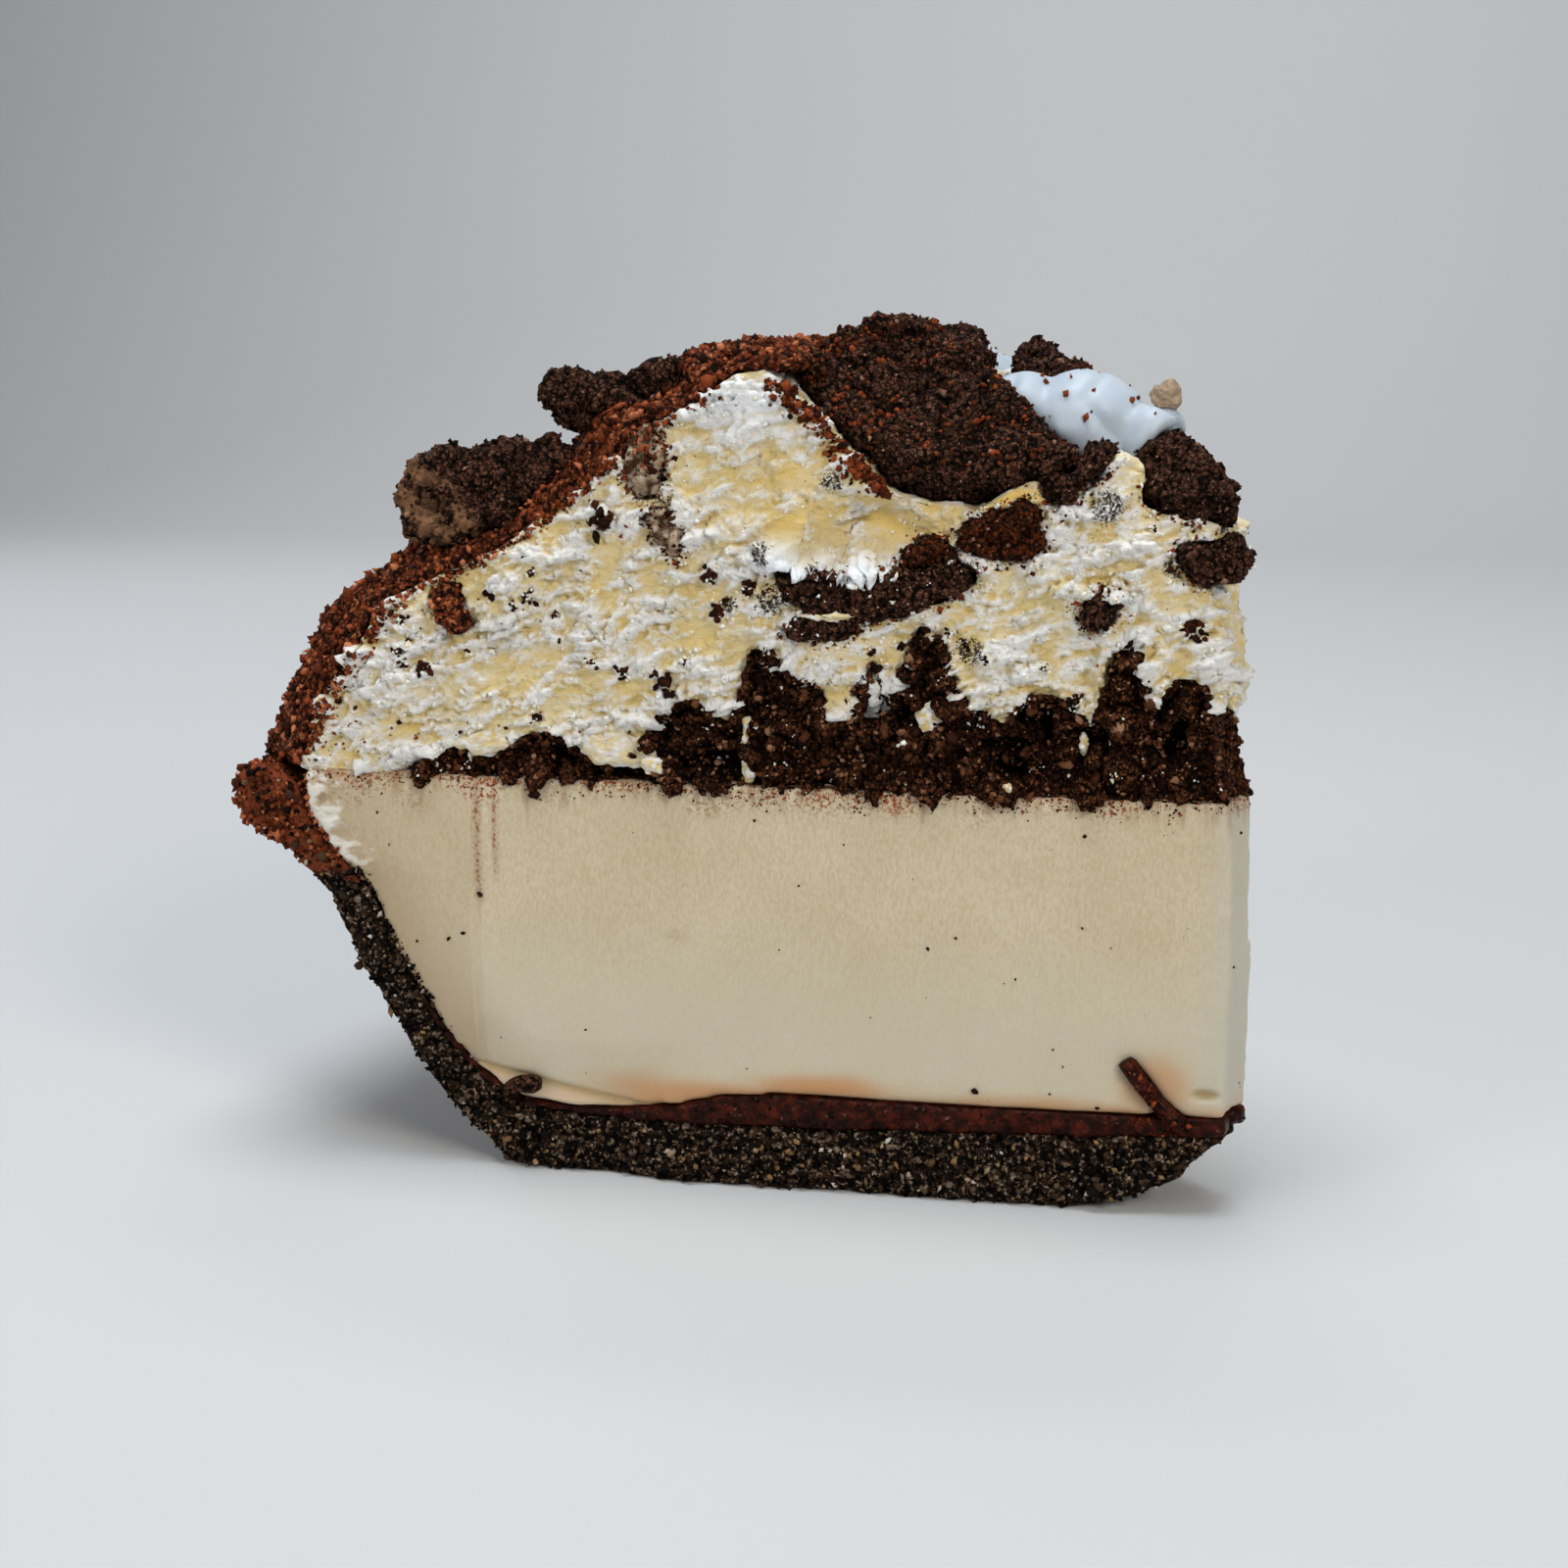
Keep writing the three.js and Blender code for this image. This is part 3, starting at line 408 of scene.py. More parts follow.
class Look:
    """A procedural material, made with short calls that each add one node and give its output."""

    def __init__(self, name, **sockets):
        self.material = bpy.data.materials.new(name)
        self.material.use_nodes = True
        self.nodes = self.material.node_tree.nodes
        self.links = self.material.node_tree.links
        self.shader = self.nodes["Principled BSDF"]
        self.fill(self.shader, sockets)
        self.place = self.add("TexCoord").outputs["Object"]

    def fill(self, node, sockets):
        """Fills sockets, by name or number, with a link, a colour as a tuple, or another value."""
        for key, value in sockets.items():
            socket = node.inputs[key.replace("_", " ") if isinstance(key, str) else key]
            if isinstance(value, bpy.types.NodeSocket):
                self.links.new(value, socket)
            else:
                socket.default_value = srgb(value) if isinstance(value, tuple) else value

    def add(self, kind, **sockets):
        node = self.nodes.new(f"ShaderNode{kind}")
        self.fill(node, sockets)
        return node

    def stretched(self, stretch, shift):
        away = [shift * 0.37, shift * 0.71, shift * 0.53]
        node = self.add("Mapping", Scale=[1 / s for s in stretch], Location=away, Vector=self.place)
        return node.outputs["Vector"]

    def noise(self, size, detail=3.0, roughness=0.55, stretch=(1, 1, 1), shift=0.0):
        node = self.add("TexNoise", Scale=1 / (size * MM), Detail=detail, Roughness=roughness,
                        Vector=self.stretched(stretch, shift))
        return node.outputs["Fac"]

    def grains(self, size, output="Distance"):
        node = self.add("TexVoronoi", Scale=1 / (size * MM), Vector=self.place)
        return node.outputs[output]

    def painted(self, name):
        node = self.add("Attribute")
        node.attribute_name = name
        return node.outputs["Fac"]

    def ramp(self, value, stops):
        """Colours, or shares of grey, at places from 0 to 1 along a value."""
        node = self.add("ValToRGB", Fac=value)
        points = node.color_ramp.elements
        while len(points) < len(stops):
            points.new(0.5)
        for point, (at, colour) in zip(points, stops):
            point.position = at
            point.color = srgb(colour) if isinstance(colour, tuple) else (colour,) * 4
        return node.outputs["Color"]

    def share(self, value, low, high):
        """Stretches the part of a value from low to high over 0 to 1."""
        node = self.add("MapRange", From_Min=low, From_Max=high, Value=value)
        node.interpolation_type = "SMOOTHSTEP"
        return node.outputs["Result"]

    def math(self, operation, a, b):
        node = self.add("Math")
        node.operation = operation
        self.fill(node, {0: a, 1: b})
        return node.outputs["Value"]

    def mix(self, share, a, b, how="MIX"):
        node = self.add("Mix")
        node.data_type = "RGBA"
        node.blend_type = how
        self.fill(node, {"Factor": share, 6: a, 7: b})
        return node.outputs[2]

    def tint(self, colour, **tints):
        """Mixes in each tint where the mesh is painted with its name."""
        for name, tint in tints.items():
            colour = self.mix(self.painted(name), colour, tint)
        return colour

    def bump(self, height, depth, strength=1.0, after=None):
        node = self.add("Bump", Distance=depth * MM, Strength=strength, Height=height)
        if after:
            self.fill(node, {"Normal": after})
        return node.outputs["Normal"]

    def finish(self, colour, normal=None, roughness=None):
        for name, value in (("Base Color", colour), ("Normal", normal), ("Roughness", roughness)):
            if value:
                self.fill(self.shader, {name: value})
        return self.material


def milky(scale, weight=0.6):
    """Shader settings of something that light sinks into by `scale` millimetres."""
    return dict(Subsurface_Weight=weight, Subsurface_Scale=scale * MM, Subsurface_Radius=[1.0, 0.8, 0.55])


def ice_cream_look():
    look = Look("ice_cream", Roughness=0.5, Specular_IOR_Level=0.25, **milky(2.2, 0.5))
    cloud = look.noise(14, 4, shift=3)
    grain = look.noise(0.34, 3, stretch=(1, 1, 2.2))
    colour = look.ramp(cloud, [(0.3, (200, 187, 158)), (0.7, (209, 198, 174))])
    colour = look.mix(look.share(grain, 0.3, 0.75), colour, (240, 234, 220), "MULTIPLY")
    # Among these tints, the darker side and the cooler lower part are painted shade, and the olive is partly
    # a painted shadow in the groove
    colour = look.tint(colour, cool=(196, 190, 170), dim=(160, 138, 108), tip=(186, 184, 172),
                       warm=(190, 140, 92), pale=(204, 178, 150), olive=(164, 138, 86), stain=(128, 76, 42))
    dots = look.share(look.noise(0.42, 3, 0.6, shift=9), 0.49, 0.42)
    colour = look.mix(look.math("MULTIPLY", dots, look.painted("speckle")), colour, (138, 70, 26))
    snow = look.math("ADD", look.painted("snow"), look.noise(0.8, 4, 0.65, stretch=(1.6, 1, 0.7), shift=4))
    colour = look.mix(look.share(snow, 0.7, 1.15), colour, (222, 219, 208))
    bump = look.bump(grain, 0.05, 0.35)
    bump = look.bump(look.noise(0.2, 3, shift=5), 0.04, 0.5, bump)
    return look.finish(colour, bump)


def cream_look():
    look = Look("cream", Roughness=0.75, Specular_IOR_Level=0.1, **milky(0.3, 0.1))
    snow = look.noise(0.6, 3, 0.7, stretch=(1.3, 1, 0.8))
    patches = look.noise(3.5, 4, 0.6, stretch=(1.5, 1, 0.7), shift=2)
    height = look.math("ADD", look.painted("crest"), look.math("MULTIPLY", snow, 0.9))
    colour = look.ramp(patches, [(0.36, (215, 190, 124)), (0.5, (218, 198, 144)), (0.62, (220, 205, 166))])
    # Whiter on the crests, yellower in the hollows: partly the cream's own tone, partly painted highlight on
    # the crests and painted shade in the hollows
    colour = look.mix(look.share(height, 0.66, 0.96), colour, (220, 211, 190))
    colour = look.mix(look.share(height, 0.88, 1.14), colour, (230, 229, 225))
    # Of these tints, the grey is painted shade in the scoop, and the bluish white is white cream with
    # painted sky light
    colour = look.tint(colour, yellow=(235, 201, 116), grey=(194, 178, 142), frost=(234, 239, 244))
    dust = look.share(look.noise(0.5, 3, shift=8), 0.3, 0.24)
    colour = look.mix(dust, colour, (128, 92, 62))
    soot = look.math("MULTIPLY", look.painted("soot"), 0.24)
    soot = look.math("ADD", soot, look.noise(0.45, 4, 0.8, shift=6))
    colour = look.mix(look.share(soot, 0.67, 0.75), colour, (48, 40, 35))
    return look.finish(colour, look.bump(snow, 0.35, 1.0))


def dollop_look():
    look = Look("dollop", Roughness=0.4, Specular_IOR_Level=0.3, **milky(1.6, 0.5))
    # The white cream's blue-grey colour is painted sky light
    colour = look.ramp(look.noise(7, 3), [(0.3, (172, 185, 197)), (0.7, (184, 194, 203))])
    bump = look.bump(look.noise(2.6, 3, shift=2), 0.2, 0.3)
    bump = look.bump(look.noise(0.4, 3), 0.03, 0.4, bump)
    return look.finish(colour, bump)


def crumb_mass_look(name, dark, body, light, fleck, grain, over=(108, 78, 56)):
    """Crumbs pressed together: each grain of its own tone, painted shade between them, a few bright flecks
    that are partly sugar and partly painted glints, and the colour `over` where the mesh is painted as
    covered."""
    look = Look(name, Specular_IOR_Level=0.03)
    clumps = look.noise(grain * 2.6, 4, 0.65, shift=1)
    cells = look.grains(grain)
    each = look.grains(grain, "Color")
    fine = look.noise(grain * 0.6, 2, 0.6, shift=2)
    colour = look.ramp(clumps, [(0.4, dark), (0.5, body), (0.62, light)])
    # The brightest tone is partly sugar specks and partly painted glints
    colour = look.mix(0.5, colour, look.ramp(each, [(0.15, dark), (0.5, body), (0.8, light), (0.95, fleck)]))
    small = look.ramp(fine, [(0.38, dark), (0.48, body), (0.56, light), (0.66, fleck)])
    colour = look.mix(0.45, colour, small)
    # Painted shade between the grains
    colour = look.mix(look.share(cells, 0.4, 0.75), colour, dark)
    covering = look.math("ADD", look.painted("covered"), look.math("MULTIPLY", fine, 0.8))
    over = look.mix(0.8, over, look.ramp(each, [(0.2, 0.12), (0.5, 0.5), (0.9, 0.8)]), "OVERLAY")
    colour = look.mix(look.share(covering, 0.6, 1.0), colour, over)
    # Painted shade in gaps and cracks, where the mesh is painted for it
    colour = look.tint(colour, deep=(6, 3, 2))
    bump = look.bump(cells, 0.7, -1.0)
    bump = look.bump(fine, 0.3, 1.0, bump)
    return look.finish(colour, bump, look.ramp(look.noise(1.1, 2), [(0.3, 0.45), (0.7, 0.85)]))


def fudge_look():
    look = Look("fudge", Roughness=0.32, Specular_IOR_Level=0.06, Coat_Weight=0.05, Coat_Roughness=0.12)
    cloud = look.noise(1.4, 5, 0.65)
    colour = look.ramp(cloud, [(0.36, (17, 4, 1)), (0.5, (43, 12, 4)), (0.66, (80, 28, 12))])
    smear = look.share(look.noise(0.9, 4, shift=3), 0.64, 0.72)
    colour = look.mix(smear, colour, (110, 76, 64))
    return look.finish(colour, look.bump(look.noise(0.9, 5, 0.65), 0.5, 0.9))


def loose_look(name, stops, roughness=0.7):
    """Loose bits, each of its own painted tone."""
    look = Look(name, Roughness=roughness, Specular_IOR_Level=0.05)
    colour = look.ramp(look.painted("tone"), stops)
    colour = look.mix(0.6, colour, look.noise(0.3, 3, 0.7), "OVERLAY")
    return look.finish(colour, look.bump(look.noise(0.5, 4, 0.75), 0.3, 1.0))


def flake_look():
    look = Look("cream_flakes", Roughness=0.65, Specular_IOR_Level=0.2, **milky(0.5, 0.35))
    colour = look.ramp(look.painted("tone"), [
        (0.0, (240, 228, 196)), (0.4, (245, 239, 222)), (1.0, (248, 249, 246))])
    return look.finish(colour, look.bump(look.noise(0.25, 4, 0.7), 0.12, 0.8))


ICE = ice_cream_look()
CREAM = cream_look()
DOLLOP = dollop_look()
FUDGE = fudge_look()
COOKIE = crumb_mass_look("cookie", (8, 5, 3), (43, 26, 18), (88, 56, 41), (152, 108, 86), 0.55)
REDDISH = crumb_mass_look("reddish_cookie", (16, 6, 3), (56, 26, 13), (98, 48, 24), (140, 76, 40), 0.5)
LUMP = crumb_mass_look("lump", (64, 42, 26), (152, 130, 104), (190, 172, 148), (222, 212, 194), 1.6)
LAYER = crumb_mass_look("cookie_layer", (7, 3, 2), (44, 23, 13), (96, 54, 32), (156, 108, 74), 0.55)
COAT = crumb_mass_look("crumb_coat", (24, 11, 7), (84, 38, 20), (142, 72, 41), (190, 128, 92), 0.8)
CRUST = crumb_mass_look("crust", (4, 3, 2), (20, 15, 11), (74, 54, 38), (190, 168, 146), 0.8, (106, 52, 31))

COAT_CRUMB = loose_look("coat_crumb", [
    (0.0, (26, 13, 9)), (0.35, (84, 39, 21)), (0.75, (147, 71, 39)), (1.0, (200, 124, 84))])
# The brightest crumbs are partly pale sugar and partly painted glints
CRUST_CRUMB = loose_look("crust_crumb", [
    (0.0, (5, 4, 3)), (0.55, (20, 15, 12)), (0.8, (72, 53, 38)), (0.93, (146, 114, 76)),
    (1.0, (206, 196, 188))], 0.4)
LAYER_CRUMB = loose_look("layer_crumb", [
    (0.0, (16, 8, 5)), (0.45, (58, 31, 18)), (0.8, (108, 66, 41)), (1.0, (158, 118, 90))])
STRAY_CRUMB = loose_look("stray_crumb", [(0.0, (28, 16, 11)), (0.4, (84, 38, 20)), (1.0, (150, 72, 38))])
COOKIE_CRUMB = loose_look("cookie_crumb", [
    (0.0, (10, 6, 4)), (0.5, (48, 30, 22)), (0.85, (98, 65, 51)), (1.0, (164, 124, 104))])
FLAKE = flake_look()
NUT = loose_look("nut", [(0.0, (150, 126, 102)), (1.0, (184, 162, 138))])

# -------------------- the layers

fine = {}  # every finished big surface by name, for things that lie on it
COOKIES = sorted(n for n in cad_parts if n.startswith(("cookie_", "slab_", "lump_")))
COOKIES.remove("cookie_layer")


def keep(name, mesh, look):
    fine[name] = add_piece(f"{name}_fine", mesh, look, name)


def facet_edge(radius):
    """Height of the knife facet's upper edge along the foot of the front face."""
    t = (radius - FACET_LOW[0]) / (FACET_HIGH[0] - FACET_LOW[0])
    return FACET_LOW[1] + (FACET_HIGH[1] - FACET_LOW[1]) * np.clip(t, -0.2, 1.2)


def wall_radius(height):
    """Radius of the crust's inner side at a height."""
    return np.interp(height, [7, 11, 16, 23, 30, 35, 38, 42, 47],
                     [87, 93, 96.6, 100, 103.8, 106, 110, 112.5, 113])


def make_ice_cream():
    mesh = fine_mesh("ice_cream", ICE_GRID, 3)
    divided(mesh, in_front)
    points, normals = read_mesh(mesh)
    front = on_front(points, normals)
    radius, height = -points[:, 0], points[:, 2]
    below = facet_edge(radius) - height
    in_reach = front * ease(radius, 69, 74)
    facet = in_reach * ease(below, -0.1, 0.4)
    beside = radius - KNIFE_STEP_R
    step = front * ease(below, 0.1, -0.4)
    spot = patch(points, 68.5, 29.3, 1.7, 1.1)
    pit = patch(points, 9.3, 14.3, 1.5, 0.55)

    proud = CLOSE_GAP + 0.08 * noise(points, (6, 6, 16), 3)
    proud += step * (0.1 * ease(beside, -0.2, 0.2) + 0.12 * bell(beside, 0.3, 0.3))
    proud -= step * 0.2 * bell(beside, -0.4, 0.35)
    proud += in_reach * 0.45 * bell(below, 1.9, 0.5)
    proud -= in_reach * 0.5 * bell(below, 0.3, 0.45)
    to_wall = wall_radius(height) - slice_radius(points)
    snow = cut_faces(points, normals) * ease(height, 33, 39)
    snow *= 0.65 * ease(to_wall + 3 * layered_noise(points, (4, 4, 1.4), 14, rough=0.65), 7, 1)
    proud += snow * (0.3 + 0.6 * layered_noise(points, (1.6, 1.6, 0.9), 15, rough=0.65))
    drag = ease(radius, 12, 6) * ease(height, 6, 10) * ease(points[:, 1], 14, 8)
    proud += drag * 0.14 * noise(points, (5, 4, 1.1), 8)
    proud += front * (0.3 * spot * noise(points, 0.8, 9) - 0.5 * pit)
    write_mesh(mesh, points + normals * proud[:, None])

    wander = noise(points, (6, 6, 3), 11)
    above = height - ICE_FOOT
    warm = ease(above + 1.2 * wander, 3.4, 0.2) * ease(radius, 84, 70) * 0.85
    warm = np.maximum(warm, front * 0.9 * patch(points, 52, 12.2, 8, 1.7 + 0.8 * wander))
    warm = np.maximum(warm, front * 0.7 * patch(points, 14.8, 14.6, 4, 4))
    paint(mesh, "warm", warm)
    paint(mesh, "pale", facet * 0.7)
    # Painted shadow in the groove under the facet's upper edge, mixed with the yellow of the pit and the
    # crumbled spot
    groove = in_reach * bell(below, 0.4, 0.5)
    paint(mesh, "olive", np.clip(0.7 * groove + 0.9 * front * pit + 0.2 * front * spot, 0, 1))
    # Painted shade: darker left of the knife step, where the face turns away from the light, and towards the
    # crust wall
    paint(mesh, "dim", np.clip(0.2 * step * ease(beside, -0.2, 0.2) + 0.6 * ease(to_wall, 12, -1), 0, 1))
    paint(mesh, "tip", 0.7 * ease(slice_radius(points), 12, 6))
    thin = noise(points, (0.9, 0.9, 9), 13)
    streak = ease(height + 4.0 * thin, 44.4, 48.2)
    lines = bell(radius, 91.6, 0.4) * ease(height, 30, 36)
    lines = front * np.maximum(lines, bell(radius, 89.5, 0.3) * ease(height, 34, 38))
    paint(mesh, "stain", np.clip(0.35 * lines + 0.5 * streak, 0, 1))
    paint(mesh, "speckle", np.clip(lines + ease(height + 3.4 * wander, 41.5, 47.5) ** 2, 0, 1))
    paint(mesh, "snow", snow)
    # Painted shade: darker and cooler towards the bottom of the face
    paint(mesh, "cool", 0.7 * ease(height + 3 * wander, 36, 18))
    keep("ice_cream", mesh, ICE)


def room_beside(points, nodes, near, far):
    """0 for a point closer than near to one of those nodes, 1 further than far from all of them."""
    tree = tree_of([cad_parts[n].data for n in nodes])
    away = [tree.find_nearest(Vector(p), far)[3] for p in points.tolist()]
    return ease(np.array([far if d is None else d for d in away]), near, far)


STROKE_SLOPE = 0.25  # the cream's strokes and tears rise to the right


def strokes(points, tall, seed):
    """How far up each point is in its scraped stroke, from 0 at the foot to 1 at the torn upper edge,
    and how plain that stroke is. The strokes overlap like shingles and fade in and out."""
    bent = warped(points, 2 * tall, 0.55 * tall, seed)
    phase = (bent[:, 2] - STROKE_SLOPE * bent[:, 0]) / tall
    phase += 0.7 * noise(points, (3 * tall, 3 * tall, 2 * tall), seed)
    phase += 0.3 * noise(points, 0.4 * tall, seed + 4) + 0.18 * noise(points, 0.2 * tall, seed + 5)
    plain = noise(warped(points, tall, 0.3 * tall, seed + 6), 2.4 * tall, seed + 7)
    return phase - np.floor(phase), ease(plain, -0.25, 0.35)


def cream_relief(points):
    """How far the torn cream stands out, and how crested it is, from 0 in the smooth hollows to 1."""
    up, plain = strokes(points, 4.2, 21)
    broad = plain * up**1.2 * (1 - ease(up, 0.86, 1))
    small_up, small_plain = strokes(points, 1.9, 41)
    flaky = small_plain * small_up * (1 - ease(small_up, 0.84, 1))
    bent = warped(points, 6, 1.8, 31)
    bent[:, 2] -= STROKE_SLOPE * points[:, 0]
    torn = layered_noise(bent, (3.4, 3.4, 1.7), 25, 4, 0.68)
    crest = np.clip(0.3 + 0.55 * torn + 0.5 * broad + 0.4 * flaky, 0, 1)
    lift = 1.0 * broad + 0.6 * flaky * (0.4 + crest) + 1.1 * crest - 0.9
    lift += (0.42 * noise(points, 0.8, 29) + 0.3 * noise(points, 0.5, 30)) * (0.15 + crest)
    return lift, crest


def make_cream():
    mesh = fine_mesh("cream", CREAM_GRID, 2)
    divided(mesh, in_front)
    points, normals = read_mesh(mesh)
    radius, height = slice_radius(points), points[:, 2]
    front = on_front(points, normals)
    scoop = front * patch(points, 48, 75.4, 9.5, 2.8)
    strip = front * patch(points, 33, 78.8, 5, 1.1)
    spot = front * patch(points, 56.5, 80.8, 4.5, 1.6)
    ledge = front * bell(from_line(points, LEDGE), 0, 1.5)
    lobe = front * patch(points, 60, 88, 5, 3.4)
    calm = np.clip(1 - 0.9 * scoop - 0.7 * strip - 0.5 * spot, 0.1, 1)

    lift, crest = cream_relief(points)
    clear = room_beside(points, COOKIES, 0.1, 0.9)
    upright = ease(np.abs(normals[:, 2]), 0.85, 0.45)
    lift = calm * lift * (0.6 + 0.4 * clear) * (0.3 + 0.7 * upright) + 0.5 * ledge * clear
    points_out = points + normals * (CLOSE_GAP + lift)[:, None]
    points_out[:, 2] -= 0.55 * ease(height, 48.2, 47.4) * ease(radius, 97, 100)  # it rests on the ice cream
    points_out -= ledge[:, None] * (0, 1.6, 1.2)  # snow lies over the slab's upper edge
    write_mesh(mesh, points_out)

    # Whiter crests and a yellow tinge in the hollows: partly the cream's own tone, partly painted highlight
    # and painted shade
    paint(mesh, "crest", np.clip(crest * calm + 0.3 * lobe, 0, 1))
    tinge = 0.18 * ease(noise(points, 6, 28), 0.1, 0.6) * (1 - crest)
    paint(mesh, "yellow", np.clip(tinge + 0.6 * scoop + 1.1 * strip + 0.45 * spot, 0, 1))
    # Painted shade in the lower part of the scoop's hollow
    paint(mesh, "grey", np.clip(0.6 * front * patch(points, 52, 73.6, 8, 1.4), 0, 1))
    # The ledge and the top lobe: white snowy cream, tinted blue by painted sky light on their upward faces
    paint(mesh, "frost", np.clip(ledge + 0.5 * lobe, 0, 1))
    soot = np.zeros(len(points))
    for at, up, size in SOOT:
        soot = np.maximum(soot, front * ease(np.hypot(radius - at, height - up), size, size * 0.3))
    paint(mesh, "soot", soot)
    keep("cream", mesh, CREAM)


def make_cookie_layer():
    mesh = fine_mesh("cookie_layer", LAYER_GRID, 1)
    divided(mesh, in_front)
    points, normals = read_mesh(mesh)
    radius, height = -points[:, 0], points[:, 2]
    first, second = grains(warped(points, 2.5, 0.9, 33), (4.4, 4.4, 3.4), 31)
    crack = ease(second - first, 0.4, 0.03)
    empty = ease(noise(points, (6, 6, 4), 38), 0.3, 0.6)  # gaps between the lumps, sunk in and painted near black as shade
    front = on_front(points, normals)
    for void in VOIDS:
        empty = np.maximum(empty, front * patch(points, *void))
    side = np.maximum(front, facing(normals, BACK_OUT))
    ribs = front * patch(points, 57, 57.8, 4.4, 1.9) * np.abs(np.sin(math.pi * radius / 1.15))
    lift = CLOSE_GAP + side * (0.9 - 0.9 * first - 1.7 * crack - 2.2 * empty) + 0.5 * ribs
    foot = side * ease(height, 49, 47.4)  # where it has spilled on to the ice cream
    moved = points + normals * (lift + 0.5 * foot)[:, None]
    moved[:, 2] -= foot * np.clip(1.0 + 0.9 * layered_noise(points, 1.8, 39, rough=0.65), 0, 2)
    write_mesh(mesh, moved)
    raise_by(mesh, lambda p, n: crumbly(p, 1.5, 0.36, 36) + crumbly(p, 0.75, 0.2, 37))
    # Painted shade in the cracks and gaps
    paint(mesh, "deep", np.clip(0.7 * crack + empty, 0, 1) * side)
    keep("cookie_layer", mesh, LAYER)


def make_crumb_coat():
    mesh = fine_mesh("crumb_coat", COAT_GRID, 1)
    raise_by(mesh, lambda p, n: CLOSE_GAP + 0.55 * noise(p, 5, 41) + crumbly(p, 1.7, 0.5, 42))
    raise_by(mesh, lambda p, n: crumbly(p, 0.9, 0.24, 43))
    points, _ = read_mesh(mesh)
    smear = bell(np.linalg.norm(points - (-116, 2, 50.5), axis=1), 0, 4.5)
    paint(mesh, "covered", 0.55 * smear * ease(layered_noise(points, 2.2, 44), -0.1, 0.4))
    keep("crumb_coat", mesh, COAT)


def make_crust():
    mesh = fine_mesh("crust", CRUST_GRID, 1)
    raise_by(mesh, lambda p, n: CLOSE_GAP + 0.3 * noise(p, 4, 51) + crumbly(p, 1.5, 0.3, 52))
    points, _ = read_mesh(mesh)
    points[:, 2] = np.maximum(points[:, 2], TABLE_TOP)  # it stands flat on the table
    write_mesh(mesh, points)
    paint(mesh, "covered", ease(points[:, 2] + 3 * layered_noise(points, 4, 55), LIP_FOOT, LIP_FULL))
    keep("crust", mesh, CRUST)


def make_fudge(node):
    """The film is too thin for an even grid, so its own faces are divided instead beside the cuts."""
    mesh = welded(node)

    def coarse(edge):
        middle = np.array((edge.verts[0].co + edge.verts[1].co) / 2) / MM - PIE_AXIS
        return edge.calc_length() > FUDGE_EDGE * MM and (middle[1] < 1.5 or middle @ BACK_OUT > -1.5)

    bm = bmesh.new()
    bm.from_mesh(mesh)
    for _ in range(5):
        bmesh.ops.subdivide_edges(bm, edges=[e for e in bm.edges if coarse(e)], cuts=1)
        bmesh.ops.triangulate(bm, faces=[f for f in bm.faces if len(f.verts) > 3])
    bmesh.ops.smooth_vert(bm, verts=bm.verts, factor=0.3, use_axis_x=True, use_axis_y=True, use_axis_z=True)
    bm.to_mesh(mesh)
    bm.free()
    shade_smooth(mesh)
    hook = node == "fudge_hook"  # it is full of crumbs
    lumps = 0.6 if hook else 0.25
    lumpy = lambda p: 0.15 + 0.35 * noise(p, 3, 61) + lumps * noise(p, 1.3, 62)
    raise_by(mesh, lambda p, n: CLOSE_GAP + cut_faces(p, n) * lumpy(p))
    keep(node, mesh, COOKIE if hook else FUDGE)


SET_IN = ("slab_front", "slab_back", "lump_high", "lump_low", "cookie_front", "cookie_tail", "cookie_tip",
          "cookie_small", "cookie_back_face", "cookie_back_high")
COOKIE_LOOKS = {"cookie_front": REDDISH, "cookie_tail": REDDISH, "lump_high": LUMP, "lump_low": LUMP}


def make_cookie(node, seed):
    if node in SET_IN:
        mesh = fine_mesh(node, SET_GRID, 1)
        raise_by(mesh, lambda p, n: 0.3 + 0.8 * noise(p, 2.4, seed) + crumbly(p, 1.1, 0.45, seed + 1))
        raise_by(mesh, lambda p, n: crumbly(p, 0.65, 0.3, seed + 2))
    else:
        cracks = lambda p: ridges(warped(p, 3, 1.2, seed + 4), 5.5, seed + 3) ** 5
        mesh = fine_mesh(node, COOKIE_GRID, 1)
        points, _ = read_mesh(mesh)
        # Painted shade in the cracks
        paint(mesh, "deep", 0.7 * cracks(points))
        raise_by(mesh, lambda p, n: 0.3 + 0.9 * noise(p, 4.5, seed) + crumbly(p, 1.9, 0.6, seed + 1)
                 - 1.1 * cracks(p))
        raise_by(mesh, lambda p, n: crumbly(p, 0.95, 0.42, seed + 2))
    if node == "cookie_left":
        points, _ = read_mesh(mesh)
        low_left = ease(-points[:, 0] + 0.8 * (80 - points[:, 2]), 90, 100)
        paint(mesh, "covered", low_left * ease(layered_noise(points, 2.4, 71), -0.5, 0.3))
    keep(node, mesh, COOKIE_LOOKS.get(node, COOKIE))


def make_dollop(node):
    mesh = fine_mesh(node, DOLLOP_GRID, 8)
    folds = lambda p: ridges(warped(p, 6, 2, 83), (9, 9, 6), 86) ** 4
    raise_by(mesh, lambda p, n: 0.25 + 0.4 * noise(p, (5, 5, 3.4), 81) - 0.5 * folds(p))
    keep(node, mesh, DOLLOP)


make_ice_cream()
make_cream()
make_cookie_layer()
make_crumb_coat()
make_crust()
make_fudge("fudge")
make_fudge("fudge_hook")
for number, cookie in enumerate(COOKIES):
    make_cookie(cookie, 100 + 7 * number)
make_dollop("dollop_front")
make_dollop("dollop_back")

